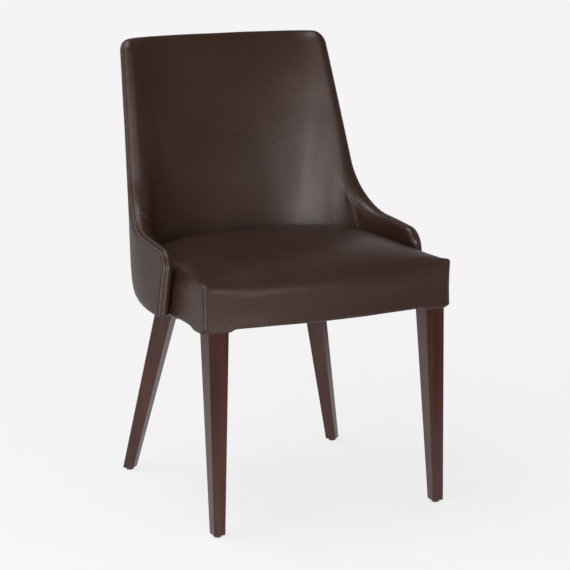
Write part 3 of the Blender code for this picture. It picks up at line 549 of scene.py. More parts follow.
def rolled_rows(places, dart_dip=None):
    """Rows of the rolled edge from the field to the bottom of its seam. With a dip at the dart they are the inside's,
    which dip at the dart too. Without one they are the outside's."""
    radius, seam, run = at(rim_roll, places), at(rim_seam, places), at(rim_run, places)
    if dart_dip is None:
        side, start, steps, from_dart = -1, 0.0, 4, np.inf
    else:
        side, start, steps, from_dart = 1, pi, 9, np.abs(run - at(rim_run, np.array(dart_place)))
    near = seam + side * seam_distances[0] / radius
    rows = []
    for step in range(1, steps):
        angle = lerp(start, near, step / steps)
        distance = np.minimum(np.abs(angle - seam) * radius, from_dart)
        rows.append((roll(places, angle, 0.0 if dart_dip is None else dart_dip), distance, run))
    for distance in seam_distances:
        dip = seam_dip(distance) if dart_dip is None else np.maximum(seam_dip(distance), dart_dip)
        rows.append((roll(places, seam + side * distance / radius, dip), np.minimum(distance, from_dart), run))
    angle = seam + side * seam_distances[-1] / radius
    rows.append((roll(places, angle, groove_bottom), np.zeros_like(places), run))
    return rows


def edge_of(grid):
    """The top row and its last column down to the hem."""
    return list(grid[-1]) + [row[-1] for row in reversed(grid[:-1])]


def lay_grid(skin, flat, depth, seam=far_from_seam, run=0.0, soft=0.0):
    """A field at a depth."""
    points = wall(flat[..., 0], flat[..., 1], depth)
    seam, run = (np.broadcast_to(value, points.shape[:2]) for value in (seam, run))
    made = [skin.line(*row, soft) for row in zip(points, seam, run)]
    skin.join_all(made)
    return made


def lay_hidden(skin, flat, depth):
    """The face of a cover that lies against the shell."""
    return lay_grid(skin, flat, depth + hidden_shift(flat[..., 0], flat[..., 1]))


def lay_rolled(skin, edge, rows, soft, *ends):
    """Lays rows on from an edge. Each of ends is (list, index) and collects that point of every row."""
    for points, seam, run in rows:
        row = skin.line(points, seam, run, soft)
        skin.join(edge, row)
        edge = row
        for kept, index in ends:
            kept.append(row[index])
    return edge


def close_edge(skin, ring, back):
    """Joins a ring to the back's edge, and what is left of it to that edge's last point."""
    skin.join(ring[:len(back)], back)
    skin.fan(ring[len(back) - 1:], back[-1])


def roll_middle(angle):
    """The middle of the rolled edge at its low end, a little towards an angle."""
    last = np.array([float(rim_last)])
    return roll(last, np.full(1, angle), at(rim_roll, last) - 0.0003)[0]


def turn_under(skin, hem, targets, share):
    """The hem is rounded and turned under, towards targets, by a share of its full way."""
    start = np.vstack(skin.points)[hem]
    way = targets - start
    way[:, 2] = 0
    length = np.linalg.norm(way, axis=1)
    unit = way / np.maximum(length, 1e-9)[:, None]
    rows = [hem]
    for reach, drop in fold_steps:
        place = start + unit * np.minimum(reach, length * 0.9)[:, None] * share[:, None]
        place[:, 2] += drop * share
        rows.append(skin.line(place))
    for drop in (fold_steps[-1][1], fold_top):
        place = lerp(start, targets, share[:, None])
        place[:, 2] = start[:, 2] + drop * share
        rows.append(skin.line(place))
    skin.join_all(rows)
    return rows[-1]


dart_place = float(np.interp(dart_girth, rim[:columns + 1, 0], np.arange(columns + 1)))
dart_pace = rim_run[int(dart_place) + 1] - rim_run[int(dart_place)]


def refine(low, high, side):
    """Places on the rim between two of them, with extra ones on one side of the dart."""
    extra = [dart_place + side * distance / dart_pace for distance in seam_distances]
    clear = seam_distances[0] * 1.1 / dart_pace
    kept = [float(index) for index in range(int(np.ceil(low)), int(np.floor(high)) + 1)
            if abs(index - dart_place) > clear]
    return np.array(sorted(set(kept + [place for place in extra if low <= place <= high])))


def make_back_outside():
    skin = Skin()
    every = np.arange(rim_last + 1, dtype=float)
    flat = field(every[:columns + 1], ease=outside_ease)
    front = lay_grid(skin, flat, hem_tuck_depth(flat[..., 0], flat[..., 1]), soft=1.0)
    hem = list(front[0])
    edge = lay_rolled(skin, edge_of(front), rolled_rows(every), 0.0, (hem, -1))
    back = lay_hidden(skin, flat, outside_hidden_depth)
    skin.join(edge, edge_of(back))
    targets = np.vstack(skin.points)[hem]
    low = flat[0]
    depth = np.minimum(flap_depth, thickness(low[:, 0], hem_height) - millimetre)
    targets[:len(low)] = wall(low[:, 0], low[:, 1], depth)
    targets[len(low):] = roll_middle(0.0)
    close_edge(skin, turn_under(skin, hem, targets, np.ones(len(hem))), back[0])
    mesh = skin.mesh("back_outside_leather", mirrored=True)
    uneven(mesh, amount=0.0005, size=0.09, seed=3.1)
    return mesh


def lay_inside(skin, flat, places):
    """The seen face of an inside cover, and its dip at the dart for each place."""
    distance = np.abs(at(rim_run, places) - at(rim_run, np.array(dart_place)))[None, :]
    along = np.concatenate([[np.zeros(len(places))], np.cumsum(np.linalg.norm(np.diff(flat, axis=0), axis=2), axis=0)])
    dip = np.broadcast_to(seam_dip(distance) * dart_share, flat.shape[:2])
    return lay_grid(skin, flat, thickness(flat[..., 0], flat[..., 1]) - dip, distance, along, 1.0), dip[-1]


def make_back_inside():
    skin = Skin()
    places = refine(0.0, dart_place, -1)
    flat = field(places, low_edge=leather_bottom)
    front, dip = lay_inside(skin, flat, places)
    side = [row[-1] for row in front]
    edge = lay_rolled(skin, front[-1], rolled_rows(places, dip), 1.0, (side, -1))
    back = lay_hidden(skin, flat, inside_hidden_depth)
    skin.join(edge, back[-1])
    skin.join(front[0], back[0])
    close_edge(skin, side, [row[-1] for row in back])
    return skin.mesh("back_inside_leather", mirrored=True)


def make_wing_inside(side, name):
    skin = Skin()
    places = refine(dart_place, float(columns), 1)
    every = np.concatenate([places, np.arange(columns + 1, rim_last + 1, dtype=float)])
    flat = field(places)
    # Behind the seat frame it stands on the foam's level, and before it the hem is turned under
    standing = wall(flat[0][:, 0], flat[0][:, 1], 0.020)[:, 1] > frame_back_line - 0.008
    flat[:, standing] = field(places, low_edge=leather_bottom)[:, standing]
    front, dip = lay_inside(skin, flat, places)
    dip = np.concatenate([dip, np.zeros(len(every) - len(places))])
    hem, start = list(front[0]), [row[0] for row in front]
    edge = lay_rolled(skin, edge_of(front), rolled_rows(every, dip), 1.0, (hem, -1), (start, 0))
    back = lay_hidden(skin, flat, inside_hidden_depth)
    skin.join(edge, edge_of(back))
    targets = np.vstack(skin.points)[hem]
    low = flat[0]
    targets[:len(low)] = wall(low[:, 0], low[:, 1], np.where(standing, 0.0195, flap_depth + 0.0002))
    targets[len(low):] = roll_middle(pi)
    share = np.ones(len(hem))
    share[:len(low)][standing] = 0.0
    close_edge(skin, turn_under(skin, hem, targets, share), back[0])
    close_edge(skin, start, [row[0] for row in back])
    mesh = skin.mesh(name)
    if side < 0:
        mesh.transform(Matrix.Scale(-1, 4, (1, 0, 0)))
        mesh.flip_normals()
    return mesh


# Seat

bow_steps, corner_steps, side_steps, rear_steps, shoulder_steps = 36, 28, 34, 44, 13
wing_girth_heights = np.linspace(hem_height, 0.50, 14)
wing_girths = np.array([front_girth(height, 0.0) for height in wing_girth_heights])
seat_count = bow_steps + corner_steps + side_steps + rear_steps + 1
corner_middle = bow_steps + corner_steps // 2
flank_lean = 0.095
crown_slope = radians(12)

# How far the seat's hem hangs lower over a leg, and stands higher beside it, in front and at the corner seam
leg_drop = 0.0048
side_arch = 0.0022
front_rise = 0.0012
seam_rise = 0.0045


def front_bow(x):
    return seat_corner_front - seat_bow * (1 - (x / seat_half_width) ** 2)


def seat_rim(girth, height, inset):
    """The seat's outline against the inside of the back. It leans out a little against the wings."""
    level = np.maximum(height, hem_height)
    place = wall(girth, level, thickness(girth, level) + seat_back_clearance + inset)
    bulge = seat_side_bulge * fade_in(place[:, 1], wing_front - 0.050, 0.035)
    return np.column_stack([np.minimum(place[:, 0], seat_half_width + bulge - inset), place[:, 1]])


def seat_plan(height, inset):
    """Half the plan outline of the seat, front centre to rear centre, at a height and inset for each point."""
    height = np.broadcast_to(height, seat_count).astype(float)
    inset = np.broadcast_to(inset, seat_count).astype(float)
    radius = seat_corner_radius
    straight = seat_half_width - radius
    made = np.empty((seat_count, 2))
    bow = slice(0, bow_steps)
    x = straight * (1 - (1 - np.arange(bow_steps) / bow_steps) ** 1.15)
    made[bow] = np.column_stack([x, front_bow(x) + inset[bow]])
    corner_y = front_bow(straight) + radius
    corner = slice(bow_steps, bow_steps + corner_steps)
    share = np.arange(corner_steps) / corner_steps
    angle = pi / 2 * (share + 0.5 * (share - 0.5) * (4 * (share - 0.5) ** 2 - 1) * 0.9)
    reach = radius - inset[corner]
    made[corner] = np.column_stack([straight + reach * np.sin(angle), corner_y - reach * np.cos(angle)])
    flank = slice(bow_steps + corner_steps, bow_steps + corner_steps + side_steps)
    girth = np.interp(height, wing_girth_heights, wing_girths)
    end = seat_rim(girth[flank], height[flank], inset[flank])
    first = np.column_stack([seat_half_width - inset[flank], np.full(side_steps, corner_y)])
    made[flank] = lerp(first, end, (np.arange(side_steps) / side_steps)[:, None])
    lean = fade_in(made[flank, 1] - end[:, 1], -flank_lean, flank_lean - 0.002)
    made[flank, 0] = lerp(first[:, 0], end[:, 0], lean)
    rear = slice(bow_steps + corner_steps + side_steps, seat_count)
    share = np.arange(rear_steps + 1) / rear_steps
    made[rear] = seat_rim(girth[rear] * (1 - share), height[rear], inset[rear])
    return made


def seat_edge(flat):
    """Height of the shoulder line round the seat."""
    run = np.clip((flat[:, 1] - seat_corner_front) / (lower_rear - lumbar_thickness - seat_corner_front), 0, 1)
    front = lerp(seat_front_edge, seat_corner_edge, np.abs(flat[:, 0] / seat_half_width) ** 3)
    return lerp(front, seat_rear_edge, 1 - (1 - run) ** 3)


def seat_dome(flat):
    """Crown of the seat, which falls away towards all four sides."""
    half = (lower_rear - lumbar_thickness - seat_corner_front + seat_bow / 2) / 2
    across = np.clip(np.abs(flat[:, 0]) / seat_half_width, 0, 1) ** 2.4
    along = np.clip(np.abs(flat[:, 1] - seat_middle) / half, 0, 1) ** 2.4
    low = lerp(seat_front_edge, seat_rear_edge, np.clip((flat[:, 1] - seat_middle) / half / 2 + 0.5, 0, 1))
    return low + (seat_crown - low) * (1 - across) * (1 - along)


def blurred(values, arc, width):
    """Values along half the outline, evened out over a width, with both ends mirrored."""
    ends = np.concatenate([[arc[0]], (arc[1:] + arc[:-1]) / 2, [arc[-1]]])
    piece = np.diff(ends)
    total, weights = np.zeros_like(values), np.zeros_like(values)
    for image in (arc, -arc, 2 * arc[-1] - arc):
        pull = np.exp(-((arc[:, None] - image[None, :]) / width) ** 2) * piece[None, :]
        total += (pull * values[None, :]).sum(1)
        weights += pull.sum(1)
    return total / weights


def raised(flat, height):
    """Plan points at one height, or at one each."""
    return np.column_stack([flat, np.broadcast_to(height, len(flat))])


def make_seat():
    skin = Skin()
    outline = seat_plan(seat_corner_edge, 0.0)
    x, y = outline.T
    behind = y > frame_back_line - 0.004
    flank = x > seat_half_width - 0.006
    arc = run_along(outline)
    from_seam = np.abs(arc - arc[corner_middle])

    def near_seam(reach):
        return np.exp(-(from_seam / reach) ** 2)

    # Shoulder: its height, and its radius, which is least at the corner's tip
    edge = seat_edge(outline) + seat_peak * near_seam(0.007)
    radius = lerp(seat_edge_radius, seat_corner_edge_radius, near_seam(0.055))
    radius = lerp(radius, seat_tip_radius, near_seam(0.011))

    # Hem: lower over the legs, arched between the leg and the wing, raised at the corner seam
    before_leg = smooth_step((front_leg_half + 0.009 - np.abs(x - front_leg_x)) / 0.008) * (y < front_leg_y)
    beside_leg = smooth_step((front_leg_y + front_leg_half + 0.016 - y) / 0.022) * flank
    at_leg = np.maximum(before_leg, beside_leg)
    arch = np.exp(-((y - lerp(front_leg_y, wing_front, 0.62)) / 0.034) ** 2) * flank
    rise = (1 - fade_in(np.abs(np.abs(x) - 0.15), 0.0, 0.10)) * (y < front_leg_y)
    hem_z = hem_line - leg_drop * at_leg + side_arch * arch * (1 - at_leg) + front_rise * rise
    hem_z += seam_rise * near_seam(0.0055)
    hem_z = np.where(behind, leather_bottom, hem_z)

    # Sides and shoulder
    corner_dip = seam_dip(from_seam) * (from_seam < seam_distances[0])
    rows = []
    for level in np.linspace(0, 1, 15):
        height = lerp(hem_z, edge - radius, level)
        rows.append(raised(seat_plan(height, seat_side_waist * np.sin(pi * level) + corner_dip), height))
    centre = np.array([0.0, seat_middle])
    plan = seat_plan(np.minimum(edge, seat_rear_edge), 0.0)
    toward = centre - plan
    toward /= np.linalg.norm(toward, axis=1, keepdims=True)
    for step in range(1, shoulder_steps + 1):
        angle = (pi / 2 - crown_slope) * step / shoulder_steps
        dip = corner_dip * (1 - fade_in(angle, radians(35), radians(40)))
        reach = (radius - dip) * (1 - cos(angle)) + dip
        rows.append(raised(plan + toward * reach[:, None], edge - radius + (radius - dip) * sin(angle)))
    lines = [skin.line(row, from_seam, row[:, 2], 1.0) for row in rows]

    # Top, in rings about the middle
    shoulder = rows[-1]
    off = shoulder[:, 2] - seat_dome(shoulder)
    for share in (0.975, 0.95, 0.92, 0.88, 0.83, 0.77, 0.70, 0.62, 0.54, 0.46, 0.38, 0.30, 0.22, 0.14, 0.07):
        flat = lerp(centre, shoulder[:, :2], share)
        height = seat_dome(flat) + blurred(off, arc, 0.20 * (1 - share)) * share ** 5
        lines.append(skin.line(raised(flat, height), soft=1.0))
    skin.join_all(lines)
    skin.fan(lines[-1], skin.line([(0.0, seat_middle, seat_crown)])[0])

    # Underside: turned under the rails, or ending in a fold against the legs
    wider = (seat_half_width - frame_seat_half) * fade_in(x, 0.20, 0.04)
    inside = np.where(behind, 0.0074, skirt_inset - 0.0003) + wider * (y > seat_corner_front + 0.006)
    number = np.arange(seat_count)
    cover = np.clip(seat_corner_front + front_leg_front_cover - front_bow(x) - 0.0002, 0.0013, inside)
    cover = lerp(cover, inside, np.clip((number - bow_steps) / corner_steps, 0, 1) ** 2)
    inside = np.where(number < bow_steps + corner_steps, lerp(inside, cover, at_leg), inside)
    under = np.where(behind, inside, lerp(0.020, inside, at_leg))
    flap = turn_under(skin, lines[0], raised(seat_plan(hem_z, under), hem_z), np.where(behind, 0.0, 1.0))
    rings = [flap, skin.line(raised(seat_plan(hem_z, inside), hem_z))]
    flat = seat_plan(foam_bottom, inside)
    rings += [skin.line(raised(lerp(centre, flat, share), leather_bottom)) for share in (1.0, 0.75, 0.5, 0.25)]
    skin.join_all(rings)
    skin.fan(rings[-1], skin.line([(0.0, seat_middle, leather_bottom)])[0])
    return skin.mesh("seat_leather", mirrored=True), rows, from_seam


# Stitches

# Rings of one thread: place along it, girth and lift
stitch_rings = ((-0.5, 0.25, -0.35), (-0.36, 0.85, 0.12), (0.0, 1.0, 0.30), (0.36, 0.85, 0.12), (0.5, 0.25, -0.35))
stitch_sides = 6


def tube_faces(start, rings, sides):
    """Faces of a closed tube whose rings of points follow one another."""
    faces = []
    for ring in range(rings - 1):
        for side in range(sides):
            first, after = start + ring * sides + side, start + ring * sides + (side + 1) % sides
            faces.append((first, after, after + sides, first + sides))
    faces.append(tuple(range(start, start + sides))[::-1])
    faces.append(tuple(range(start + (rings - 1) * sides, start + rings * sides)))
    return faces


def stitch_mesh(name, paths):
    """Short threads along paths of (points, outward normals), on both sides of the chair."""
    verts, faces = [], []
    flip = np.array((-1, 1, 1))
    for points, outs in paths + [(points * flip, outs * flip) for points, outs in paths]:
        run = run_along(points)
        count = max(1, int(run[-1] / stitch_pitch))
        for index in range(count):
            middle = (index + 0.5) * run[-1] / count
            first, last = (read_at(middle + shift, run, points) for shift in (-stitch_length / 2, stitch_length / 2))
            length = np.linalg.norm(last - first)
            if length < 1e-6:
                continue
            along = (last - first) / length
            out = read_at(middle, run, outs)
            out -= along * out.dot(along)
            out /= np.linalg.norm(out)
            across = np.cross(along, out)
            faces += tube_faces(len(verts), len(stitch_rings), stitch_sides)
            for place, girth, lift in stitch_rings:
                centre = (first + last) / 2 + along * (place * length) + out * (lift * stitch_width)
                for side in range(stitch_sides):
                    angle = 2 * pi * side / stitch_sides
                    arm = across * cos(angle) + out * sin(angle) * 0.8
                    verts.append(centre + arm * (girth * stitch_width / 2))
    made = new_mesh(name, verts, faces)
    made.shade_smooth()
    return made


def rim_stitch_path(side):
    places = np.linspace(0.0, rim_last - 0.8, 900)
    angle = at(rim_seam, places) + side * stitch_distance / at(rim_roll, places)
    dip = seam_dip(stitch_distance)
    points = roll(places, angle, dip)
    return points, points - roll(places, angle, dip + millimetre)


def dart_stitch_path(side):
    """Up the inside of the back beside the dart, and on over the rolled edge."""
    place = np.array([dart_place + side * stitch_distance / dart_pace])
    flat = field(place, low_edge=foam_bottom + 0.035)[:, 0]
    dip = seam_dip(stitch_distance)
    depth = thickness(flat[:, 0], flat[:, 1]) - dip
    low = wall(flat[:, 0], flat[:, 1], depth)
    low_out = low - wall(flat[:, 0], flat[:, 1], depth - millimetre)
    radius, seam = at(rim_roll, place), at(rim_seam, place)
    angles = np.linspace(pi, float(seam[0] + 0.0055 / radius[0]), 14)[1:]
    spot = np.full(len(angles), place[0])
    high = roll(spot, angles, dip)
    high_out = high - roll(spot, angles, dip + millimetre)
    return np.vstack([low, high]), np.vstack([low_out, high_out])


def corner_stitch_path(rows, from_seam, side):
    near = np.arange(corner_middle, corner_middle + side * corner_steps // 2, side)
    points = np.array([read_at(stitch_distance, from_seam[near], row[near]) for row in rows[:22]])
    centre = seat_half_width - seat_corner_radius
    outs = np.column_stack([points[:, :2] - (centre, front_bow(centre) + seat_corner_radius), np.zeros(len(points))])
    return points, outs / np.linalg.norm(outs, axis=1, keepdims=True)


# Materials

class Graph:
    """Short hands for the node tree of a material, or of the world."""

    def __init__(self, name, owner=None):
        self.owner = owner or bpy.data.materials.new(name)
        self.owner.use_nodes = True
        self.tree = self.owner.node_tree
        self.tree.nodes.clear()
        self.place = self.node("TexCoord", "Object")

    def node(self, kind, output=0, inputs=(), **settings):
        """The output of a new node. An input that is a socket is linked, and any other is its value."""
        made = self.tree.nodes.new("ShaderNode" + kind)
        for label, value in settings.items():
            setattr(made, label, value)
        for label, value in dict(inputs).items():
            socket = made.inputs[label]
            if isinstance(value, bpy.types.NodeSocket):
                self.tree.links.new(value, socket)
            else:
                socket.default_value = (*value, 1) if socket.type == "RGBA" else value
        return made.outputs[output]

    def show(self, surface, kind="OutputMaterial"):
        out = self.tree.nodes.new("ShaderNode" + kind)
        self.tree.links.new(surface, out.inputs["Surface"])
        return self.owner

    def principled(self, tone, rough, normal, metallic=0.0):
        return self.show(self.node("BsdfPrincipled", "BSDF", {
            "Base Color": tone, "Roughness": rough, "Normal": normal, "Metallic": metallic}))

    def mapped(self, scale, turn=(0, 0, 0)):
        return self.node("Mapping", "Vector", {"Vector": self.place, "Scale": scale, "Rotation": turn})

    def noise(self, vector, scale, detail=3.0, roughness=0.5):
        return self.node("TexNoise", "Fac", {
            "Vector": vector, "Scale": scale, "Detail": detail, "Roughness": roughness})

    def wave(self, vector, scale, axis="X"):
        return self.node("TexWave", "Fac", {"Vector": vector, "Scale": scale}, bands_direction=axis)

    def ramp(self, factor, *stops):
        made = self.node("ValToRGB", "Color", {"Fac": factor})
        for element, (position, colour) in zip(made.node.color_ramp.elements, stops):
            element.position, element.color = position, (*colour, 1)
        return made

    def level(self, factor, low, high, start=0.0, end=1.0, **settings):
        return self.node("MapRange", "Result", {
            "Value": factor, "From Min": start, "From Max": end, "To Min": low, "To Max": high}, **settings)

    def math(self, operation, *values):
        return self.node("Math", 0, enumerate(values), operation=operation)

    def mix(self, factor, first, second):
        return self.node("Mix", 2, {0: factor, 6: first, 7: second}, data_type="RGBA")

    def attribute(self, name):
        return self.node("Attribute", "Fac", attribute_name=name)

    def bump(self, height, distance, strength, before=None):
        under = {} if before is None else {"Normal": before}
        return self.node("Bump", "Normal", {"Strength": strength, "Distance": distance, "Height": height, **under})


def leather_look():
    graph = Graph("leather")
    pebbles = graph.node("TexVoronoi", "Distance", {"Vector": graph.place, "Scale": 430, "Smoothness": 0.35},
                         feature="SMOOTH_F1")
    fine = graph.noise(graph.place, 1500, 2.0)
    creases = graph.noise(graph.place, 75, 4.0, 0.6)
    patches = graph.noise(graph.place, 9)
    seam = graph.attribute("seam")
    tone = graph.ramp(patches, (0.30, (0.0355, 0.0155, 0.0098)), (0.70, (0.0460, 0.0205, 0.0138)))
    tone = graph.mix(graph.level(pebbles, 0.0, 0.45, 0.25, 0.75), tone, (0.0220, 0.0090, 0.0055))
    # Paler beside a seam: some wear, and a painted highlight along the stitch rows
    tone = graph.mix(graph.level(seam, 0.14, 0.0, 0.0008, 0.0060), tone, (0.0850, 0.0480, 0.0350))
    # Painted shade: darker in the seam's groove
    tone = graph.mix(graph.level(seam, 0.9, 0.0, 0.0002, 0.0009), tone, (0.0060, 0.0030, 0.0025))
    # Puckered from stitch to stitch
    pucker = graph.math("SINE", graph.math("MULTIPLY", graph.attribute("run"), 2 * pi / stitch_pitch))
    near = graph.level(graph.math("ABSOLUTE", graph.math("SUBTRACT", seam, stitch_distance)), 1.0, 0.0, 0.0, 0.0018)
    normal = graph.bump(graph.level(pebbles, 1.0, 0.0), 0.00030, 0.70)
    normal = graph.bump(fine, 0.00004, 0.5, normal)
    normal = graph.bump(creases, 0.0008, 0.27, normal)
    normal = graph.bump(graph.math("MULTIPLY", pucker, near), 0.00020, 0.8, normal)
    return graph.principled(tone, graph.level(graph.noise(graph.place, 120), 0.31, 0.41), normal)


def darker(colour, share):
    return tuple(value * share for value in colour)


def wood_look(name, dark, light, roughness, axis, grain=1.0):
    """Lengthwise grain: noise drawn out along one axis, with fine pores."""
    graph = Graph(name)
    stretch = [230.0 * grain] * 3
    stretch[axis] = 9.0 * grain
    long = graph.mapped(stretch)
    bands = graph.noise(long, 0.35, 4.0, 0.6)
    fibres = graph.noise(long, 2.2, 3.0, 0.65)
    pores = graph.noise(long, 5.0, 2.0, 0.7)
    tone = graph.ramp(bands, (0.32, dark), (0.68, light))
    tone = graph.mix(graph.level(fibres, 0.0, 0.55, 0.35, 0.75), tone, darker(dark, 0.55))
    tone = graph.mix(graph.level(pores, 0.0, 0.6, 0.60, 0.72), tone, darker(dark, 0.35))
    rough = graph.level(fibres, roughness - 0.05, roughness + 0.08)
    return graph.principled(tone, rough, graph.bump(fibres, 0.00012, 0.25))


def plywood_look():
    graph = Graph("plywood")
    bands = graph.noise(graph.mapped((160.0, 160.0, 9.0)), 0.5, 4.0, 0.6)
    tone = graph.ramp(bands, (0.30, (0.42, 0.28, 0.16)), (0.70, (0.62, 0.45, 0.27)))
    return graph.principled(tone, graph.level(bands, 0.55, 0.7), graph.bump(bands, 0.0001, 0.3))


def steel_look():
    graph = Graph("zinc_steel")
    cloud = graph.noise(graph.place, 260, 4.0, 0.6)
    tone = graph.ramp(cloud, (0.30, (0.42, 0.43, 0.42)), (0.70, (0.62, 0.62, 0.60)))
    normal = graph.bump(graph.noise(graph.place, 2600, 2.0), 0.00003, 0.4)
    return graph.principled(tone, graph.level(cloud, 0.28, 0.45), normal, metallic=1.0)


def webbing_look():
    graph = Graph("webbing")
    weave = graph.math("MULTIPLY", graph.wave(graph.place, 130, "X"), graph.wave(graph.place, 130, "Y"))
    tone = graph.ramp(weave, (0.0, (0.022, 0.017, 0.014)), (1.0, (0.115, 0.092, 0.072)))
    tone = graph.mix(graph.level(graph.noise(graph.place, 40), 0.0, 0.4, 0.4, 0.8), tone, (0.16, 0.13, 0.10))
    return graph.principled(tone, 0.88, graph.bump(weave, 0.0004, 0.8))


def cloth_look(name, dark, light):
    """Spun non-woven cloth."""
    graph = Graph(name)
    fibres = graph.noise(graph.place, 900, 4.0, 0.7)
    dots = graph.node("TexVoronoi", "Distance", {"Vector": graph.place, "Scale": 420})
    tone = graph.ramp(fibres, (0.30, dark), (0.75, light))
    tone = graph.mix(graph.level(dots, 0.5, 0.0, 0.0, 0.45), tone, darker(dark, 0.5))
    return graph.principled(tone, graph.level(fibres, 0.82, 0.95), graph.bump(dots, 0.00015, 0.6))


def plastic_look():
    graph = Graph("glide_plastic")
    cloud = graph.noise(graph.place, 700)
    tone = graph.ramp(cloud, (0.3, (0.020, 0.016, 0.014)), (0.7, (0.034, 0.028, 0.024)))
    return graph.principled(tone, graph.level(cloud, 0.42, 0.58), graph.bump(cloud, 0.00005, 0.4))


def thread_look():
    graph = Graph("thread")
    twist = graph.wave(graph.mapped((1, 1, 1), (0.6, 0.5, 0.8)), 700)
    # The thread is coloured paler than the leather's dark brown: a painted highlight on the stitches
    tone = graph.ramp(twist, (0.0, (0.115, 0.085, 0.068)), (1.0, (0.235, 0.185, 0.153)))
    return graph.principled(tone, 0.45, graph.bump(twist, 0.0001, 0.6))


# Pieces

leather = leather_look()
thread = thread_look()
steel = steel_look()
dark_cloth = cloth_look("dark_cloth", (0.010, 0.010, 0.010), (0.030, 0.029, 0.028))


def let_go(mesh, near, reach):
    """Where a piece may relax: away from its seams."""
    return mark_of(mesh, "soft") * fade_in(mark_of(mesh, "seam"), near, reach)


def held_points():
    """Points of the rim's seam, of the darts and of the covers' hidden faces."""
    places = np.linspace(0.0, rim_last, 500)
    rim_line = roll(places, at(rim_seam, places), 0.0)
    flat = field(np.array([dart_place]))[:, 0]
    dart_line = wall(flat[:, 0], flat[:, 1], thickness(flat[:, 0], flat[:, 1]))
    deep = field(np.arange(0, columns + 1, 2, dtype=float))
    behind = wall(deep[..., 0], deep[..., 1], shell_inner_depth).reshape(-1, 3)
    made = np.vstack([rim_line, dart_line, behind])
    return np.vstack([made, made * (-1, 1, 1)])


held_tree = point_tree(held_points())


def hold_back(points):
    """Held at the rim's seam, at the darts and behind: free over the face of the pad."""
    distance = np.array([held_tree.find(point)[2] for point in points])
    return 1 - fade_in(points[:, 2], 0.47, 0.05) * fade_in(distance, 0.006, 0.030)


add_piece("back_outside_leather", make_back_outside(), leather, ("outside_back_cover", "outside_wadding"))

inside_mesh = make_back_inside()
above_seat = fade_in(coordinates(inside_mesh)[:, 2], 0.492, 0.050)
relax(inside_mesh, let_go(inside_mesh, near=0.024, reach=0.040) * above_seat, times=900)
swell(inside_mesh, hold_back)
relax(inside_mesh, let_go(inside_mesh, near=0.016, reach=0.024) * above_seat, times=60)
uneven(inside_mesh, amount=0.0006, size=0.07, seed=5.3)
add_piece("back_inside_leather", inside_mesh, leather, ("inside_back_cover", "back_foam"))

for side, tag in ((-1, "left"), (1, "right")):
    name = "wing_inside_leather_" + tag
    wing_mesh = make_wing_inside(side, name)
    behind_corner = fade_in(coordinates(wing_mesh)[:, 1], wing_front + 0.050, 0.060)
    relax(wing_mesh, let_go(wing_mesh, near=0.012, reach=0.020) * behind_corner, times=25)
    add_piece(name, wing_mesh, leather, ("inside_wing_cover_" + tag,))


def hold_seat(points):
    """Held round the hem, under the seat, at the two corner seams and against the back."""
    x, y = np.abs(points[:, 0]), points[:, 1]
    from_corner = np.hypot(x - seat_half_width + 0.003, y - seat_corner_front - 0.003)
    free = fade_in(points[:, 2], 0.430, 0.035) * fade_in(from_corner, 0.004, 0.030)
    return 1 - free * (1 - fade_in(x, seat_half_width - 0.060, 0.045)) * (1 - fade_in(y, 0.025, 0.050))


grid_cell = 0.003
grid_margin = 24
grid_reach = 0.008
even_passes = ((0.008, 0.005, 0.014), (0.020, 0.018, 0.040))


def blur(table, width):
    """A table of the grid, evened out over a width both ways."""
    reach = int(3 * width / grid_cell)
    for axis in (0, 1):
        table = sum(np.roll(table, shift, axis) * np.exp(-(shift * grid_cell / width) ** 2 / 2)
                    for shift in range(-reach, reach + 1))
    return table


def even_top(mesh):
    """Evens out the top of the seat on a level grid, so that no crease follows the mesh's own rows. Each pass has
    its width, and how far from the seat's outline it starts and how soon it has its full share."""
    points = coordinates(mesh)
    top = np.nonzero((points[:, 2] > seat_corner_edge - 0.012) & (normals(mesh)[:, 2] > 0.25))[0]
    flat, level = points[top, :2], points[top, 2]
    tree = point_tree([(x, y, 0.0) for x, y in flat])
    low = flat.min(0) - grid_cell * grid_margin
    count = np.ceil((flat.max(0) - low) / grid_cell).astype(int) + grid_margin
    places = np.stack(np.meshgrid(*[low[axis] + grid_cell * np.arange(count[axis]) for axis in (0, 1)],
                                  indexing="ij"), axis=-1).reshape(-1, 2)
    dome = seat_dome(places)
    rest, inside = np.zeros(len(places)), np.zeros(len(places))
    for number, (x, y) in enumerate(places):
        found = tree.find_n((x, y, 0.0), 4)
        if found[0][2] < grid_reach:
            weights = [1 / (distance + 0.0004) ** 2 for _, _, distance in found]
            height = sum(weight * level[near] for weight, (_, near, _) in zip(weights, found)) / sum(weights)
            rest[number], inside[number] = height - dome[number], 1.0
    rest, inside = rest.reshape(count), inside.reshape(count)
    half = seat_plan(seat_corner_edge, 0.0)[:bow_steps + corner_steps + side_steps]
    line = np.vstack([half, half * (-1, 1)])
    away = np.sqrt(((flat[:, None, :] - line[None, :, :]) ** 2).sum(2).min(1))
    spot = (flat - low) / grid_cell
    first = np.floor(spot).astype(int)
    part = spot - first
    for width, near, reach in even_passes:
        table = blur(rest * inside, width) / np.maximum(blur(inside, width), 1e-9)
        between = sum(table[first[:, 0] + i, first[:, 1] + j]
                      * (part[:, 0] if i else 1 - part[:, 0]) * (part[:, 1] if j else 1 - part[:, 1])
                      for i in (0, 1) for j in (0, 1))
        level = lerp(level, seat_dome(flat) + between, fade_in(away, near, reach))
    points[top, 2] = level
    set_coordinates(mesh, points)


seat_mesh, seat_rows, seat_seam = make_seat()
swell(seat_mesh, hold_seat)
even_top(seat_mesh)
uneven(seat_mesh, amount=0.0007, size=0.08, seed=1.7)
add_piece("seat_leather", seat_mesh, leather, ("seat_cover", "seat_foam"))

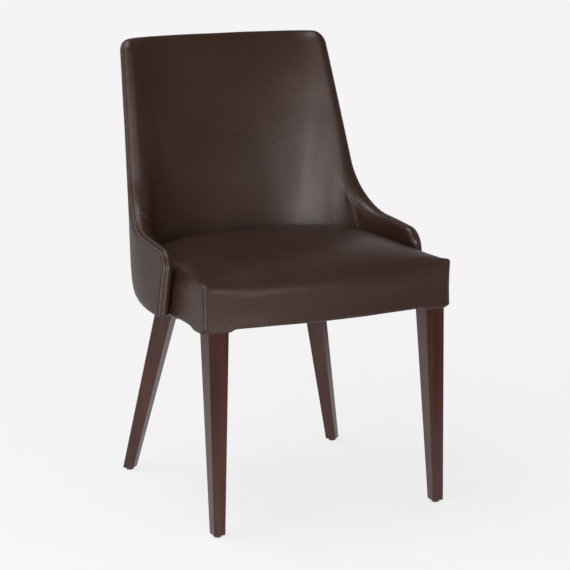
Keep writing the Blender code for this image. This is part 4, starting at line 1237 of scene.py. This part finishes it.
for name, paths in (("rim_stitching", [rim_stitch_path(side) for side in (-1, 1)]),
                    ("dart_stitching", [dart_stitch_path(side) for side in (-1, 1)]),
                    ("corner_stitching", [corner_stitch_path(seat_rows, seat_seam, side) for side in (-1, 1)])):
    add_piece(name, stitch_mesh(name, paths), thread)


# Cloth under the seat, and its staples

cloth_cell = 0.014
cloth_sag = 0.0045
cloth_sag_reach = 0.09
cloth_waves = 0.0012
cloth_thickness = 0.0004
cloth_gap = 0.0006
leg_gap = 0.004
staple_pitch = 0.036
staple_inset = 0.006
staple_wire = 0.0006
staple_half = 0.0055


def under_outline(inset):
    """Outline of the cloth under the frame, half of it, from the front centre to the rear centre."""
    side = front_leg_x + front_leg_half - inset
    notch_x, notch_y = front_leg_x - front_leg_half - leg_gap, front_leg_y + front_leg_half + leg_gap
    points = [(x, front_bow(x) + skirt_inset + inset) for x in np.linspace(0, notch_x, 12)]
    points += [(notch_x, notch_y), (side, notch_y), (side, frame_back_line)]
    place = wall(np.linspace(0.40, 0.0, 40), hem_height, shell_inner_depth + 0.0012 + inset)
    return points + [(x, y) for x, y, _ in place if y > frame_back_line + 0.002]


def make_under_cloth():
    half = under_outline(-0.0015)
    loop = half + [(-x, y) for x, y in reversed(half) if x > 1e-6]
    work = bmesh.new()
    work.faces.new([work.verts.new((x, y, 0.0)) for x, y in loop])
    for normal, span in ((Vector((1, 0, 0)), overall_width / 2), (Vector((0, 1, 0)), overall_depth / 2)):
        for step in np.arange(-span, span, cloth_cell):
            bmesh.ops.bisect_plane(work, geom=work.verts[:] + work.edges[:] + work.faces[:],
                                   plane_co=normal * step, plane_no=normal)
    reach = rear_leg_half + leg_gap
    turn = Matrix.Rotation(radians(45), 3, "Z")
    gone = []
    for face in work.faces:
        middle = face.calc_center_median()
        for sign in (-1, 1):
            local = turn @ Vector((middle.x - sign * rear_leg_x, middle.y - rear_leg_y, 0))
            if abs(local.x) < reach and abs(local.y) < reach:
                gone.append(face)
                break
    bmesh.ops.delete(work, geom=gone, context="FACES")
    tree = point_tree([vert.co.copy() for vert in work.verts if vert.is_boundary])
    area = sum(face.calc_area() for face in work.faces)
    for vert in work.verts:
        sag = cloth_sag + noise.noise(vert.co * 25) * cloth_waves
        vert.co.z = hem_height - cloth_gap - sag * float(fade_in(tree.find(vert.co)[2], 0.0, cloth_sag_reach))
    mesh = bpy.data.meshes.new("under_cloth")
    work.to_mesh(mesh)
    work.free()
    mesh.shade_smooth()
    return mesh, loop, area


under_mesh, under_loop, under_area = make_under_cloth()
under = add_piece("under_cloth", under_mesh, dark_cloth, ("dust_cover",))
thick = under.modifiers.new("Solidify", "SOLIDIFY")
thick.thickness = cloth_thickness
thick.offset = 0


def make_staples():
    """Crowned wire staples along the edge of the cloth."""
    verts, faces = [], []
    loop = np.array(under_loop + under_loop[:1])
    run = run_along(loop)
    low, high = hem_height - 0.0016, hem_height + 0.0002
    for place in np.arange(0.015, run[-1], staple_pitch):
        spot = read_at(place, run, loop)
        ahead = read_at(place + 0.002, run, loop) - spot
        ahead /= np.linalg.norm(ahead)
        inward = (0.0, seat_middle) - spot
        inward -= ahead * inward.dot(ahead)
        inward /= np.linalg.norm(inward)
        spot = spot + inward * staple_inset
        faces += tube_faces(len(verts), 4, 4)
        for end, level in ((-1, high), (-1, low), (1, low), (1, high)):
            for side_in, side_up in ((-1, -1), (1, -1), (1, 1), (-1, 1)):
                shift = end * (staple_half - (staple_wire * side_up if level > low else 0))
                flat = spot + ahead * shift + inward * staple_wire * side_in
                verts.append((*flat, level + (staple_wire * side_up if level == low else 0)))
    return new_mesh("staples", verts, faces)


add_piece("staples", make_staples(), steel)


# Finer materials for the frame's own pieces

raw_wood = (0.40, 0.26, 0.15), (0.60, 0.43, 0.27)
stained_wood = (0.0265, 0.0056, 0.0033), (0.0720, 0.0158, 0.0090)
looks = (
    (wood_look("stained_wood", *stained_wood, roughness=0.30, axis=2), ("front_leg_", "rear_leg_")),
    (wood_look("frame_wood_across", *raw_wood, roughness=0.6, axis=0, grain=0.7),
     ("front_rail", "rear_rail", "corner_block_")),
    (wood_look("frame_wood_along", *raw_wood, roughness=0.6, axis=1, grain=0.7), ("side_rail_",)),
    (plywood_look(), ("back_shell",)),
    (steel, ("leg_bolt_", "leg_insert_", "leg_tnut_", "rail_bolt_", "rail_tnut_")),
    (webbing_look(), ("webbing_",)),
    (plastic_look(), ("glide_",)),
    (dark_cloth, ("deck_cloth",)),
)
for look, stems in looks:
    for name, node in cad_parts.items():
        if name.startswith(stems):
            for slot in node.material_slots:
                slot.material = look
            if not node.material_slots:
                node.data.materials.append(look)


# Floor, world, lights and camera

background = (0.913, 0.899, 0.906)
glow_below_background = 0.17
floor_radius = 14.0
dim_side = (0.80, -0.60, 0.0)
dim_level = 0.15
pale_level = 0.52


def looked_at(graph):
    """1 where a camera, glossy or transmission ray looks."""
    seen = graph.math("MAXIMUM", graph.node("LightPath", "Is Camera Ray"), graph.node("LightPath", "Is Glossy Ray"))
    return graph.math("MAXIMUM", seen, graph.node("LightPath", "Is Transmission Ray"))


def studio(graph, direction, kind):
    """White where the camera looks. Glossy rays find the studio dimmer, most of all upward and to the front right."""
    unit = graph.node("VectorMath", "Vector", {0: direction}, operation="NORMALIZE")
    toward = graph.node("VectorMath", "Value", {0: unit, 1: dim_side}, operation="DOT_PRODUCT")
    side = graph.level(toward, pale_level, dim_level, -0.25, 0.65, interpolation_type="SMOOTHSTEP")
    upward = graph.node("SeparateXYZ", "Z", {0: unit})
    above = graph.level(upward, 1.0, 0.25, 0.15, 0.75, interpolation_type="SMOOTHSTEP")
    glossy = graph.node("LightPath", "Is Glossy Ray")
    strength = graph.node("Mix", 0, {0: glossy, 2: 1.0, 3: graph.math("MULTIPLY", side, above)})
    return graph.node(kind, 0, {"Color": background, "Strength": strength})


def make_floor():
    """A floor that takes the chair's shadow and fades into the background."""
    work = bmesh.new()
    bmesh.ops.create_circle(work, cap_ends=True, radius=floor_radius, segments=96)
    mesh = bpy.data.meshes.new("floor")
    work.to_mesh(mesh)
    work.free()
    graph = Graph("floor")
    plain = graph.node("BsdfDiffuse", 0, {"Color": (0.80, 0.79, 0.79)})
    shaded = graph.node("BsdfDiffuse", 0, {"Color": (0.20, 0.20, 0.20)})
    glow = graph.node("Emission", 0, {"Color": [value - glow_below_background for value in background]})
    near = graph.node("AddShader", 0, {0: shaded, 1: glow})
    away = graph.node("VectorMath", "Value", {0: graph.place}, operation="LENGTH")
    fade = graph.level(away, 0.0, 1.0, 0.55, 1.6, interpolation_type="SMOOTHSTEP")
    seen = graph.node("MixShader", 0, {0: fade, 1: near, 2: studio(graph, graph.place, "Emission")})
    mesh.materials.append(graph.show(graph.node("MixShader", 0, {0: looked_at(graph), 1: plain, 2: seen})))
    new_object("floor", mesh)


def make_world():
    world = bpy.data.worlds.new("studio")
    bpy.context.scene.world = world
    graph = Graph("studio", world)
    soft = graph.node("Background", 0, {"Color": (1.0, 1.0, 1.0), "Strength": 0.45})
    white = studio(graph, graph.node("TexCoord", "Generated"), "Background")
    graph.show(graph.node("MixShader", 0, {0: looked_at(graph), 1: soft, 2: white}), "OutputWorld")


def add_lamp(name, place, target, size, power):
    data = bpy.data.lights.new(name, "AREA")
    data.shape = "RECTANGLE"
    data.size, data.size_y = size
    data.energy = power
    lamp = new_object(name, data)
    lamp.location = place
    lamp.rotation_euler = (Vector(target) - Vector(place)).to_track_quat("-Z", "Y").to_euler()
    lamp.visible_camera = False


make_floor()
make_world()
add_lamp("front", (-1.05, -3.35, 1.05), (0.0, 0.05, 0.60), (3.1, 1.6), 72)
add_lamp("left", (-2.7, -1.25, 1.15), (0.0, 0.0, 0.55), (0.8, 1.8), 24)
add_lamp("top", (-1.0, 0.5, 3.0), (0.0, 0.0, 0.4), (1.6, 1.6), 30)

# The camera as it was fitted to the photograph
camera_data = bpy.data.cameras.new("camera")
camera_data.lens = 122.46
camera_data.sensor_width = 36.0
camera_data.clip_end = 60.0
camera = new_object("camera", camera_data)
camera.location = (-1.5511, -3.3040, 1.2153)
camera.rotation_euler = Euler((radians(77.3035), 0.0, radians(-25.5738)))
bpy.context.scene.camera = camera
bpy.context.scene.view_settings.view_transform = "Standard"
